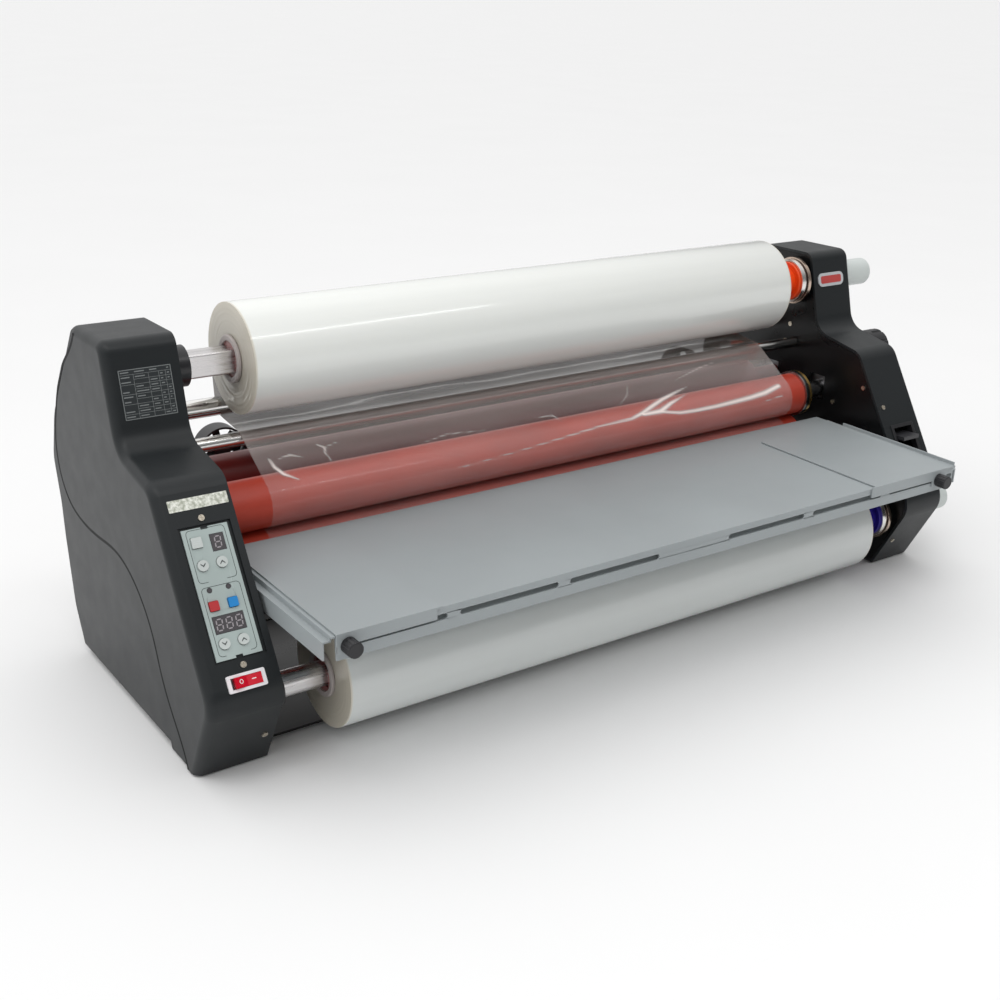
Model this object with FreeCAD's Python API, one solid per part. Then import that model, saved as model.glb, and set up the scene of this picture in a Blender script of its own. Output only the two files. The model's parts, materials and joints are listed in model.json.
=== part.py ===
import FreeCAD, Part
import math
import os

# Roll laminator, millimetres. X runs along the rollers, +Y is the back, +Z is up.
# The finished parts are centred so the origin is the middle of the footprint at floor level.

# ---------------------------------------------------------------- driving dimensions
X0 = -465.0                      # outer face of the left cover
Y0 = -127.0                      # nose of both covers before centring
y_shift = -5.0                   # moves the finished machine so its footprint is centred
machine_width = 882.0            # outer face to outer face of the covers
left_cover_width = 64.0
right_cover_width = 60.0
wall = 3.0                       # moulded cover wall
plate = 4.0                      # steel side plate
left_edge_round = 8.0            # rounding of each cover's outer edges
right_edge_round = 4.5

XL_IN = X0 + left_cover_width
XR_OUT = X0 + machine_width
XR_IN = XR_OUT - right_cover_width
x_mid = X0 + 440.0               # middle of the film and rollers

film_width = 640.0
web_width = 638.0
film_x0 = x_mid - film_width / 2
film_x1 = x_mid + film_width / 2

roller_r = 23.1
pull_r = 21.9
sleeve_t = 4.0                   # silicone on the heated rollers
gear_r = 20.0
gear_t = 8.0
roller_x0 = XL_IN + 13.0
roller_x1 = x_mid + 340.0
shaft_r = 10.0
heater_r = 4.0
heater_bore = 6.0
heat_y = 24.0
pull_y = 98.0
upper_z = 181.0
lower_z = 133.2

upper_roll = (69.0, 300.0)
upper_roll_r = 49.4
lower_roll = (-87.0, 63.0)
lower_roll_r = 48.8
core_r = 20.0
core_bore = 16.0
mandrel_side = 21.0
journal_r = 9.0
chuck_r = 22.0                   # coloured disc at the brake end of each roll
chuck_x = (XR_IN - 21.0, XR_IN - 15.5)
cup_r = 24.5                     # bright cup of the brake ring around that disc

rear_idler = (104.0, 248.0)
rear_idler_r = 8.5
front_idler = (65.0, 227.5)
front_idler_r = 6.5
lower_idler = (-17.0, 94.0)
lower_idler_r = 6.5
idler_pin_r = 4.0

running = 0.06                   # radial clearance of every running fit
film_gap = 0.4                   # film to roller surface
film_t = 0.25

table_z = 154.5
table_front = -193.0
table_rear = 3.0
table_x0 = -391.0
table_x1 = 341.0
sheet = 2.0

lever_axis = (-30.0, 146.0)
lever_shaft_r = 5.0
cam_offset = 16.0
cam_r = 12.0
cam_arm_half = 4.0
blade_length = 68.0
lift_bottom = 158.3              # underside of the nip blocks at rest

knob_axis = (14.0, 223.0)        # black pressure knob on the right cover
knob_r = 20.5
tension_knob_r = 15.4
tension_knob_end = 465.0

fan_x = (-320.0, 270.0)
fan_y = 166.0
fan_z = 184.0
fan_r = 24.0

# Side outline of both covers as (y, z, corner radius); the nose sits at Y0.
SIDE = [(179.3, 333, 12), (157, 248.5, 24), (93, 237, 20), (-4.6, 81.7, 26), (37, 2, 0),
        (90, 2, 0), (92, 8, 0), (308, 8, 0), (324.5, 42, 40), (333.5, 110, 60),
        (335.5, 145, 40), (345.5, 188, 30), (328.5, 236, 60), (253.5, 332, 16)]
# Lower rear field of the outer faces that is pressed in behind the crease.
CREASE = [(236, 350), (248, 321), (284, 289), (314, 242), (325, 205), (320, 178), (302, 157),
          (271, 147), (225, 146), (178, 147), (152, 139), (128, 122), (110, 98), (98, 70),
          (80, 42), (56, 10), (50, -10), (400, -10), (400, 350)]
crease_bends = 17                # leading points that lie on the smooth curve
crease_depth = 2.0

V = FreeCAD.Vector


# ---------------------------------------------------------------- shape helpers
def box(x0, x1, y0, y1, z0, z1):
    return Part.makeBox(x1 - x0, y1 - y0, z1 - z0, V(x0, y0, z0))


def cyl_x(x0, x1, yz, r):
    return Part.makeCylinder(r, x1 - x0, V(x0, yz[0], yz[1]), V(1, 0, 0))


def tube_x(x0, x1, yz, r_out, r_in):
    return cyl_x(x0, x1, yz, r_out).cut(cyl_x(x0 - 1, x1 + 1, yz, r_in))


def cyl_y(x, z, y0, y1, r):
    return Part.makeCylinder(r, y1 - y0, V(x, y0, z), V(0, 1, 0))


def fuse(shapes):
    body = shapes[0]
    for item in shapes[1:]:
        body = body.fuse(item)
    return body.removeSplitter()


def cut(body, tools):
    for tool in tools:
        body = body.cut(tool)
    return body


def rounded_face(points, x):
    """Closed outline of (y, z, radius) corners as a face in the plane at x."""
    n = len(points)
    ends = []
    for i in range(n):
        y, z, r = points[i]
        corner = V(x, y, z)
        before = V(x, *points[i - 1][:2]) - corner
        after = V(x, *points[(i + 1) % n][:2]) - corner
        before.normalize()
        after.normalize()
        half = before.getAngle(after) / 2
        if r <= 0 or abs(half - math.pi / 2) < 1e-4:
            ends.append((corner, corner, corner))
            continue
        back = r / math.tan(half)
        bisector = before + after
        bisector.normalize()
        centre = corner + bisector * (r / math.sin(half))
        ends.append((corner + before * back, centre - bisector * r, corner + after * back))
    edges = []
    for i in range(n):
        start, middle, end = ends[i]
        if start.distanceToPoint(end) > 1e-6:
            edges.append(Part.Arc(start, middle, end).toShape())
        following = ends[(i + 1) % n][0]
        if end.distanceToPoint(following) > 1e-6:
            edges.append(Part.makeLine(end, following))
    return Part.Face(Part.Wire(Part.__sortEdges__(edges)))


def side_prism(x0, x1, inset):
    """Cover outline pulled in by inset and extruded from x0 to x1."""
    face = rounded_face([(y + Y0, z, r) for y, z, r in SIDE], x0)
    if inset > 0:
        face = Part.Face(face.OuterWire.makeOffset2D(-inset))
    return face.extrude(V(x1 - x0, 0, 0))


def slope_frame(y_a, z_a, y_b, z_b, z_ref):
    """Point on the line a-b at height z_ref and the line's upward unit vector."""
    length = math.hypot(y_b - y_a, z_b - z_a)
    up = ((y_b - y_a) / length, (z_b - z_a) / length)
    y_ref = y_a + (z_ref - z_a) * up[0] / up[1]
    return V(0, y_ref + Y0, z_ref), up


def placed(shape, frame):
    """Move a shape drawn as (x, up-slope, outward) onto a sloping face."""
    point, up = frame
    angle = math.degrees(math.atan2(up[1], up[0]))
    moved = shape.copy()
    moved.rotate(V(0, 0, 0), V(1, 0, 0), angle)
    moved.translate(point)
    return moved


PANEL = slope_frame(-4.6, 81.7, 93, 237, 154.0)      # sloping control face
BROW = slope_frame(157, 248.5, 179.3, 333, 290.0)      # upper front face
CHIN = slope_frame(37, 2, -4.6, 81.7, 34.0)          # receding lower front face


def panel_s(z):
    """Distance up the control face for a height z."""
    return (z - 154.0) / PANEL[1][1]


def rounded_box(x0, x1, y0, y1, z0, z1, r):
    block = box(x0, x1, y0, y1, z0, z1)
    upright = [e for e in block.Edges if abs(e.tangentAt(e.FirstParameter).z) > 0.99]
    return block.makeFillet(r, upright)


# ---------------------------------------------------------------- control panel layout
fascia_x = (X0 + 16, X0 + 55)
fascia_s = (-48.3, 59.0)
pocket_depth = 2.0
fascia_top = -0.6
button_out = 1.2
button_in = -5.0
button_gap = 0.3

SQUARE_BUTTONS = {"run_button": (26, 194, 8.6), "heater_button": (26, 150, 7.8),
                  "ready_button": (42, 150, 7.8)}
ROUND_BUTTONS = {"speed_down_button": (26, 178), "speed_up_button": (42, 178),
                 "temperature_down_button": (26, 124), "temperature_up_button": (42, 124)}
round_button_r = 4.5
DISPLAYS = [(38, 49, 192, 13.5), (22, 47.5, 137, 13.5)]
LAMPS = [(26, 161), (42, 161)]
lamp_r = 1.8

rocker_centre = (X0 + 35, panel_s(96.5))
rocker_half = (12.1, 4.4)
rocker_pivot = -3.0              # pin height below the control face
rocker_pin_r = 1.2
rocker_well = 5.0                # half width of the sleeve the rocker sits in
bezel_half = (16.2, 7.0)
rocker_tilt = 9.0


def button_shape(x, z, size, shape, gap, low, high):
    """Square or round button column on the control face."""
    s = panel_s(z)
    cx = X0 + x
    if shape == "square":
        half = size / 2 + gap
        column = rounded_box(cx - half, cx + half, s - half, s + half, low, high, 1.0)
    else:
        column = Part.makeCylinder(size + gap, high - low, V(cx, s, low))
    return column


def panel_openings(low, high):
    """Every hole the buttons, lamps and displays need through the panel."""
    holes = []
    for x, z, size in SQUARE_BUTTONS.values():
        holes.append(button_shape(x, z, size, "square", button_gap, low, high))
    for x, z in ROUND_BUTTONS.values():
        holes.append(button_shape(x, z, round_button_r, "round", button_gap, low, high))
    return holes


def window_blocks(low, high, grow=0.0):
    blocks = []
    for x_a, x_b, z, height in DISPLAYS:
        s = panel_s(z)
        blocks.append(box(X0 + x_a - grow, X0 + x_b + grow, s - height / 2 - grow,
                          s + height / 2 + grow, low, high))
    for x, z in LAMPS:
        blocks.append(Part.makeCylinder(lamp_r + grow, high - low, V(X0 + x, panel_s(z), low)))
    return blocks


# ---------------------------------------------------------------- film path
def tangent(a, b, shift):
    """Tangent points between two circles (y, z, signed radius)."""
    ra = a[2] - shift
    rb = b[2] - shift
    dy = b[0] - a[0]
    dz = b[1] - a[1]
    angle = math.atan2(dz, dy) + math.acos((rb - ra) / math.hypot(dy, dz))
    n = (math.cos(angle), math.sin(angle))
    return (a[0] - n[0] * ra, a[1] - n[1] * ra), (b[0] - n[0] * rb, b[1] - n[1] * rb)


def film_arc(circle, start, end, shift):
    r = abs(circle[2] - shift)
    a0 = math.atan2(start[1] - circle[1], start[0] - circle[0])
    a1 = math.atan2(end[1] - circle[1], end[0] - circle[0])
    turn = (a1 - a0) % (2 * math.pi)
    if circle[2] < 0:
        turn -= 2 * math.pi
    middle = a0 + turn / 2
    point = (circle[0] + r * math.cos(middle), circle[1] + r * math.sin(middle))
    return Part.Arc(V(0, *start), V(0, *point), V(0, *end)).toShape()


def film_sheet(circles, finish, lead=0.0, tail_y=None):
    """Film over signed circles; finish(shift) is its last point on the last circle."""
    sides = []
    corners = []
    for shift in (film_t / 2, -film_t / 2):
        spans = [tangent(a, b, shift) for a, b in zip(circles[:-1], circles[1:])]
        (sy, sz), (ey, ez) = spans[0]
        step = lead / math.hypot(ey - sy, ez - sz)
        first = (sy + (ey - sy) * step, sz + (ez - sz) * step)
        spans[0] = (first, spans[0][1])
        stops = [span[0] for span in spans[1:]] + [finish(shift)]
        edges = []
        for circle, (start, end), stop in zip(circles[1:], spans, stops):
            edges.append(Part.makeLine(V(0, *start), V(0, *end)))
            edges.append(film_arc(circle, end, stop, shift))
        last = stops[-1]
        if tail_y is not None:
            edges.append(Part.makeLine(V(0, *last), V(0, tail_y, last[1])))
            last = (tail_y, last[1])
        sides += edges
        corners.append((first, last))
    for k in (0, 1):
        sides.append(Part.makeLine(V(0, *corners[0][k]), V(0, *corners[1][k])))
    outline = Part.Wire(Part.__sortEdges__(sides))
    solid = Part.Face(outline).extrude(V(web_width, 0, 0))
    solid.translate(V(x_mid - web_width / 2, 0, 0))
    return solid


# ---------------------------------------------------------------- covers and fixed frame
def pressed_field(x0, x1):
    points = [V(x0, y + Y0, z) for y, z in CREASE]
    spline = Part.BSplineCurve()
    spline.interpolate(points[:crease_bends])
    edges = [spline.toShape()]
    for a, b in zip(points[crease_bends - 1:], points[crease_bends:] + points[:1]):
        edges.append(Part.makeLine(a, b))
    return Part.Face(Part.Wire(edges)).extrude(V(x1 - x0, 0, 0))


def rounded_cover(x_out, x_in, edge_round):
    """Solid outer form of a cover with its outer edge rounded."""
    body = side_prism(min(x_out, x_in), max(x_out, x_in), 0)
    rim = []
    for edge in body.Edges:
        bound = edge.BoundBox
        if abs(bound.XMin - x_out) < 1e-6 and abs(bound.XMax - x_out) < 1e-6 and bound.ZMax > 12:
            rim.append(edge)
    return body.makeFillet(edge_round, rim)


def cover(x_out, x_in, edge_round):
    inward = 1 if x_in > x_out else -1
    body = rounded_cover(x_out, x_in, edge_round)
    pressed = (x_out - inward, x_out + inward * crease_depth)
    body = body.cut(pressed_field(min(pressed), max(pressed)))
    hollow = (x_out + inward * (wall + crease_depth), x_in + inward)
    return body.cut(side_prism(min(hollow), max(hollow), wall))


def left_cover():
    body = cover(X0, XL_IN, left_edge_round)
    pocket = box(fascia_x[0] - 2, fascia_x[1] + 3, fascia_s[0] - 1.5, fascia_s[1] + 2,
                 -pocket_depth, 5)
    tools = [placed(pocket, PANEL)]
    for hole in panel_openings(-20, 5) + window_blocks(-20, 5, 0.4):
        tools.append(placed(hole, PANEL))
    cx, s = rocker_centre
    tools.append(placed(box(cx - 13.6, cx + 13.6, s - rocker_well, s + rocker_well, -20, 5), PANEL))
    tools.append(box(inlet_x0, inlet_x1, 170, 230, inlet_z0, inlet_z1))
    tools.append(box(inlet_x0 - 8, inlet_x1 + 8, inlet_y - 1.5, 230, inlet_z0 - 2.5, inlet_z1 + 2.5))
    return cut(body, tools)


lever_slot_x = (XR_OUT - 46.0, XR_OUT - 15.5)
lever_slot_s = (panel_s(131.0), panel_s(160.0))


def right_cover():
    body = cover(XR_OUT, XR_IN, right_edge_round)
    slot = box(lever_slot_x[0], lever_slot_x[1], lever_slot_s[0], lever_slot_s[1], -20, 5)
    tools = [placed(slot, PANEL)]
    for yz, r in ((upper_roll, journal_r + 3), (lower_roll, journal_r + 3), (knob_axis, 5.06)):
        tools.append(cyl_x(XR_OUT - 12, XR_OUT + 2, yz, r))
    return cut(body, tools)


# rear inlet
inlet_x0 = X0 + 14.0
inlet_x1 = inlet_x0 + 31.0
inlet_z0 = 60.0
inlet_z1 = 82.0
inlet_y = 202.8


def side_frame(x0, x1):
    """Steel plate that carries every shaft on one side."""
    body = side_prism(x0, x1, wall + 0.3)
    tools = []
    for yz, r in ((upper_roll, journal_r + 4), (lower_roll, journal_r + 4),
                  (rear_idler, idler_pin_r + running), (front_idler, idler_pin_r + running),
                  (lower_idler, idler_pin_r + running), ((heat_y, lower_z), shaft_r + running),
                  ((pull_y, lower_z), shaft_r + running), (lever_axis, lever_shaft_r + running)):
        tools.append(cyl_x(x0 - 1, x1 + 1, yz, r))
    slot_half = shaft_r + 2
    for y in (heat_y, pull_y):
        tools.append(box(x0 - 1, x1 + 1, y - slot_half, y + slot_half,
                         upper_z - slot_half, upper_z + slot_half + 5))
    tools.append(box(x0 - 1, x1 + 1, 53, 69, 172, 193))
    body = cut(body, tools)
    on_left = x0 < x_mid
    rail_x0, rail_x1 = (x1, x1 + 8) if on_left else (x0 - 14, x0)
    extras = [box(rail_x0, rail_x1, y, y + 20, 129, 133.8) for y in (-92.0, -62.0)]
    if on_left:
        extras.append(heater_bracket(x0 - 16, x0 + 1))
    return fuse([body] + extras)


def heater_bracket(x0, x1):
    """Arm over the lower heated roller's journal that grips the end of its heater rod."""
    half = 10.0
    arm = box(x0, x1, heat_y - half, heat_y + half, lower_z + 11.8, lower_z + 15.8)
    grip = box(x0, x0 + 2.5, heat_y - half, heat_y + half, lower_z - 8, lower_z + 15.8)
    return fuse([arm, grip]).cut(cyl_x(x0 - 1, x0 + 4, (heat_y, lower_z), heater_r))


def base_plate():
    body = box(XL_IN, XR_IN, -72, 182, 6, 8)
    rear = box(XL_IN, XR_IN, 180, 182, 8, 46)
    ribs = [box(XL_IN + 1, XL_IN + 3, -70, 180, 8, 30), box(XR_IN - 3, XR_IN - 1, -70, 180, 8, 30)]
    return fuse([body, rear] + ribs)


def rubber_feet():
    feet = []
    for x in (X0 + 32, XR_OUT - 29):
        front = Part.makeCylinder(13, 2, V(x, Y0 + 64, 0))
        rear = Part.makeCylinder(13, 8, V(x, Y0 + 270, 0))
        feet += [front, rear]
    return Part.makeCompound(feet)


def screw_head(x, r=2.6, height=1.2):
    head = Part.makeCylinder(r, height, V(x, 0, 0))
    cross = [box(x - r * 0.7, x + r * 0.7, -0.3, 0.3, height - 0.5, height + 1),
             box(x - 0.3, x + 0.3, -r * 0.7, r * 0.7, height - 0.5, height + 1)]
    return cut(head, cross)


def cover_screws():
    heads = []
    for x, z, frame in ((X0 + 35, 210, PANEL), (X0 + 36, 107.5, PANEL), (X0 + 55, 34, CHIN),
                        (XR_IN + 9, 181, PANEL), (XR_IN + 9, 34, CHIN)):
        head = screw_head(x)
        ref = 154.0 if frame is PANEL else 34.0
        head.translate(V(0, (z - ref) / frame[1][1], 0))
        heads.append(placed(head, frame))
    for y, z in ((73, 247), (-4, 172), (-46, 199), (-113, 93)):
        for x, turn in ((XL_IN, 90), (XR_IN, -90)):
            head = screw_head(0)
            head.rotate(V(0, 0, 0), V(0, 1, 0), turn)
            head.translate(V(x, y, z))
            heads.append(head)
    return Part.makeCompound(heads)


def control_fascia():
    sheet_top = box(fascia_x[0], fascia_x[1], fascia_s[0], fascia_s[1], -pocket_depth, fascia_top)
    holes = panel_openings(-4, 2) + window_blocks(-4, 2, 0.4)
    s_top, s_low = fascia_s[1], fascia_s[0]
    cx = (fascia_x[0] + fascia_x[1]) / 2
    notches = [box(cx - 3, cx + 3, s_top - 2, s_top + 2, -4, 2),
               box(cx - 3, cx + 3, s_low - 2, s_low + 2, -4, 2)]
    return placed(cut(sheet_top, holes + notches), PANEL)


def display_windows():
    return placed(Part.makeCompound(window_blocks(-3.5, fascia_top + 0.25, 0.2)), PANEL)


def cover_labels():
    table = placed(box(X0 + 11, X0 + 56, -20.7, 20.7, 0, 0.3), BROW)
    strip_s = panel_s(221.0)
    strip = placed(box(X0 + 11, X0 + 61, strip_s - 4.8, strip_s + 4.8, 0, 0.3), PANEL)
    return Part.makeCompound([table, strip])


def rocker_pin(half, r):
    cx, s = rocker_centre
    return Part.makeCylinder(r, 2 * half, V(cx, s - half, rocker_pivot), V(0, 1, 0))


def rocker_bezel():
    cx, s = rocker_centre
    frame = rounded_box(cx - bezel_half[0], cx + bezel_half[0], s - bezel_half[1],
                        s + bezel_half[1], 0, 1.8, 1.5)
    sleeve = box(cx - 13.6, cx + 13.6, s - rocker_well, s + rocker_well, -12, 0.5)
    hole = box(cx - 13.0, cx + 13.0, s - 4.6, s + 4.6, -11, 5)
    pin_hole = rocker_pin(rocker_well + 1, rocker_pin_r + running)
    return placed(cut(fuse([frame, sleeve]), [hole, pin_hole]), PANEL)


def power_rocker():
    cx, s = rocker_centre
    hx, hs = rocker_half
    outline = [(-hx, 3.4), (0, 1.2), (hx, 3.4), (hx * 0.8, -5), (-hx * 0.8, -5)]
    points = [V(cx + px, s - hs, pz) for px, pz in outline]
    body = Part.Face(Part.makePolygon(points + points[:1])).extrude(V(0, 2 * hs, 0))
    body.rotate(V(cx, s, rocker_pivot), V(0, 1, 0), rocker_tilt)
    return placed(fuse([body, rocker_pin(rocker_well - 0.05, rocker_pin_r)]), PANEL)


def round_badge():
    cx = XR_OUT - 33
    s = 12.5 / BROW[1][1]
    plate_ = rounded_box(cx - 20.5, cx + 20.5, s - 7.6, s + 7.6, 0, 1.2, 6.5)
    return placed(plate_, BROW)


def lever_escutcheon():
    x0, x1 = lever_slot_x
    s0, s1 = lever_slot_s
    rim = box(x0 - 3, x1 + 3, s0 - 3, s1 + 3, 0, 1.0)
    sleeve = box(x0, x1, s0, s1, -6, 0.5)
    hole = box(x0 + 1, x1 - 1, s0 + 1, s1 - 1, -10, 5)
    return placed(cut(fuse([rim, sleeve]), [hole]), PANEL)


def roll_sockets():
    rings = []
    for yz in (upper_roll, lower_roll):
        flange = cyl_x(XL_IN, XL_IN + 12, yz, 18)
        spigot = cyl_x(XL_IN - 4, XL_IN, yz, journal_r + 4)
        rings.append(fuse([flange, spigot]).cut(cyl_x(XL_IN - 9, XL_IN + 20, yz, journal_r + running)))
    return Part.makeCompound(rings)


def brake_rings():
    """Stepped rings on the right plate, each with a shallow cup round the roll's disc."""
    rings = []
    for yz in (upper_roll, lower_roll):
        cup = cyl_x(XR_IN - 18, XR_IN - 10, yz, cup_r)
        flange = cyl_x(XR_IN - 10, XR_IN - 6, yz, cup_r + 2)
        neck = cyl_x(XR_IN - 6, XR_IN, yz, cup_r - 2)
        spigot = cyl_x(XR_IN, XR_IN + 4, yz, journal_r + 4)
        pocket = cyl_x(XR_IN - 19, XR_IN - 14, yz, chuck_r + 0.6)
        bore = cyl_x(XR_IN - 30, XR_IN + 20, yz, journal_r + running)
        rings.append(cut(fuse([cup, flange, neck, spigot]), [pocket, bore]))
    return Part.makeCompound(rings)


def fan_bar():
    """Black channel across the back that carries the two round fans."""
    web = box(XL_IN, XR_IN, fan_y + 9, fan_y + 11, 159, 184)
    lip = box(XL_IN, XR_IN, fan_y + 11, fan_y + 22, 159, 160.5)
    holes = [cyl_y(x, fan_z, fan_y - 20, fan_y + 12, fan_r - 4) for x in fan_x]
    return cut(fuse([web, lip]), holes)


def fan_frames():
    fans = []
    for x in fan_x:
        ring = cyl_y(x, fan_z, fan_y - 9, fan_y + 9, fan_r)
        ring = ring.cut(cyl_y(x, fan_z, fan_y - 10, fan_y + 10, fan_r - 2))
        hub = cyl_y(x, fan_z, fan_y + 5, fan_y + 8, 8)
        spokes = [box(x - 1, x + 1, fan_y + 5, fan_y + 7, fan_z - fan_r + 1, fan_z + fan_r - 1),
                  box(x - fan_r + 1, x + fan_r - 1, fan_y + 5, fan_y + 7, fan_z - 1, fan_z + 1)]
        spokes = [cut(spoke, [cyl_y(x, fan_z, fan_y, fan_y + 12, 8)]) for spoke in spokes]
        pin = cyl_y(x, fan_z, fan_y - 6, fan_y + 5, 1.5)
        fans.append(fuse([ring, hub, pin] + spokes))
    return Part.makeCompound(fans)


def fan_rotor(x):
    hub = cyl_y(x, fan_z, fan_y - 8, fan_y + 3, 8)
    blades = []
    for k in range(7):
        blade = box(x + 7, x + fan_r - 3.2, fan_y - 3, fan_y - 2, fan_z - 5, fan_z + 5)
        blade.rotate(V(x, fan_y - 2.5, fan_z), V(1, 0, 0), 32)
        blade.rotate(V(x, fan_y, fan_z), V(0, 1, 0), k * 360.0 / 7)
        blades.append(blade)
    body = fuse([hub] + blades)
    return body.cut(cyl_y(x, fan_z, fan_y - 7, fan_y + 4, 1.5 + running))


def heater_rod(z):
    return cyl_x(XL_IN - 20.5, XR_IN + 29, (heat_y, z), heater_r)


def gear_motor():
    case = box(XR_IN + 4, XR_IN + 44, 106, 176, 50, 112)
    can = cyl_x(XR_IN + 44, XR_IN + 50, (141, 81), 24)
    return fuse([case, can])


def control_electronics():
    board = box(XL_IN - 30, XL_IN - 28.4, -45, 50, 60, 190)
    supply = box(XL_IN - 50, XL_IN - 8, 60, 130, 20, 100)
    parts = [box(XL_IN - 44, XL_IN - 30, y, y + 18, 80 + k * 34, 100 + k * 34)
             for k, y in enumerate((-38, -10, 28))]
    stand = [box(XL_IN - 28.4, XL_IN - 4, y, y + 6, 114, 120) for y in (-42, 40)]
    foot = box(XL_IN - 8, XL_IN - 4, 70, 120, 40, 90)
    return Part.makeCompound([fuse([board] + parts + stand), fuse([supply, foot])])


def power_inlet():
    body = box(inlet_x0, inlet_x1, inlet_y - 26, inlet_y, inlet_z0, inlet_z1)
    flange = rounded_plate_y(inlet_x0 - 8, inlet_x1 + 8, inlet_y - 1.5, inlet_y + 1.5,
                             inlet_z0 - 2.5, inlet_z1 + 2.5)
    cavity = box(inlet_x0 + 3.5, inlet_x1 - 3.5, inlet_y - 17, inlet_y + 5,
                 inlet_z0 + 3, inlet_z1 - 3)
    cx = (inlet_x0 + inlet_x1) / 2
    blades = [box(x - 1, x + 1, inlet_y - 18, inlet_y - 3, z - 2, z + 2)
              for x, z in ((cx - 7, 69), (cx + 7, 69), (cx, 74))]
    return fuse([fuse([body, flange]).cut(cavity)] + blades)


def rounded_plate_y(x0, x1, y0, y1, z0, z1):
    block = box(x0, x1, y0, y1, z0, z1)
    edges = [e for e in block.Edges if abs(e.tangentAt(e.FirstParameter).y) > 0.99]
    return block.makeFillet(2.5, edges)


# ---------------------------------------------------------------- film and rolls
UPPER_ROLL = (upper_roll[0], upper_roll[1], -(upper_roll_r + film_gap))
REAR = (rear_idler[0], rear_idler[1], -(rear_idler_r + film_gap))
FRONT = (front_idler[0], front_idler[1], front_idler_r + film_gap)
UPPER_HEAT = (heat_y, upper_z, roller_r + film_gap)
LOWER_ROLL = (lower_roll[0], lower_roll[1], lower_roll_r + film_gap)
LOWER_IDLER = (lower_idler[0], lower_idler[1], -(lower_idler_r + film_gap))
LOWER_HEAT = (heat_y, lower_z, -(roller_r + film_gap))
tail_end = pull_y + 14.0


def upper_web():
    feed = film_sheet([UPPER_ROLL, REAR, FRONT], lambda s: tangent(FRONT, UPPER_HEAT, s)[0])
    nip_z = upper_z - roller_r - film_gap
    tail = box(x_mid - web_width / 2, x_mid + web_width / 2, heat_y + 0.5, tail_end,
               nip_z - film_t / 2, nip_z + film_t / 2)
    return Part.makeCompound([feed, tail])


def upper_web_nip():
    return film_sheet([FRONT, UPPER_HEAT], lambda s: (heat_y, upper_z - UPPER_HEAT[2] + s), 1.5)


def lower_web():
    return film_sheet([LOWER_ROLL, LOWER_IDLER, LOWER_HEAT],
                      lambda s: (heat_y, lower_z - LOWER_HEAT[2] + s), 0.0, tail_end)


def film_roll(yz, r):
    return tube_x(film_x0, film_x1, yz, r, core_r)


def roll_core(yz):
    """Core tube with the two chucks that grip the square mandrel."""
    tube = tube_x(film_x0 - 1, film_x1 + 1, yz, core_r, core_bore)
    left = cyl_x(film_x0 - 1, film_x0 + 24, yz, core_bore)
    right = cyl_x(film_x1 - 24, chuck_x[0], yz, core_bore)
    disc = cyl_x(*chuck_x, yz, chuck_r)
    groove = tube_x(chuck_x[0] - 1, chuck_x[0] + 1, yz, chuck_r - 1.5, core_bore + 1.5)
    half = mandrel_side / 2
    bore = box(film_x0 - 10, XR_IN, yz[0] - half, yz[0] + half, yz[1] - half, yz[1] + half)
    return cut(fuse([tube, left, right, disc]), [groove, bore])


def mandrel(yz, corner_r):
    half = mandrel_side / 2
    bar = box(XL_IN + 13, chuck_x[1], yz[0] - half, yz[0] + half, yz[1] - half, yz[1] + half)
    corners = [e for e in bar.Edges if abs(e.tangentAt(e.FirstParameter).x) > 0.99]
    bar = bar.makeFillet(corner_r, corners)
    return fuse([bar, cyl_x(XL_IN - 8, tension_knob_end - 14, yz, journal_r)])


def tension_knob(yz):
    """Smooth knob with a rounded outer end, open towards the cover."""
    knob = cyl_x(XR_OUT + 1.5, tension_knob_end, yz, tension_knob_r)
    rim = [e for e in knob.Edges if e.BoundBox.XMin > tension_knob_end - 0.01]
    knob = knob.makeFillet(3.0, rim)
    return knob.cut(cyl_x(XR_OUT, tension_knob_end - 12, yz, journal_r + running))


def idler(yz, r):
    bar = cyl_x(XL_IN + 1, XR_IN - 1, yz, r)
    return fuse([bar, cyl_x(XL_IN - 7, XR_IN + 7, yz, idler_pin_r)])


# ---------------------------------------------------------------- rollers and nip lift

def roller_sleeve(y, z):
    return tube_x(roller_x0, roller_x1, (y, z), roller_r, roller_r - sleeve_t)


def roller_shaft(y, z, x0, x1, gear_x=None, collar=False):
    """Hollow roller tube with necked journals and an end collar or a drive gear."""
    parts = [cyl_x(roller_x0, roller_x1, (y, z), roller_r - sleeve_t),
             cyl_x(x0, x1, (y, z), shaft_r)]
    if collar:
        parts.append(cyl_x(roller_x1, roller_x1 + 9, (y, z), roller_r + 2.5))
    if gear_x is not None:
        parts.append(cyl_x(gear_x, gear_x + gear_t, (y, z), gear_r))
    return fuse(parts).cut(cyl_x(x0 - 1, x1 + 1, (y, z), heater_bore))


def pull_roller(y, z, x0, x1, gear_x=None):
    parts = [cyl_x(roller_x0, roller_x1, (y, z), pull_r), cyl_x(x0, x1, (y, z), shaft_r)]
    if gear_x is not None:
        parts.append(cyl_x(gear_x, gear_x + gear_t, (y, z), gear_r))
    return fuse(parts)


block_left = (XL_IN - 17.0, XL_IN - 6.0)
block_right = (XR_IN + 6.0, XR_IN + 17.0)


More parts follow.
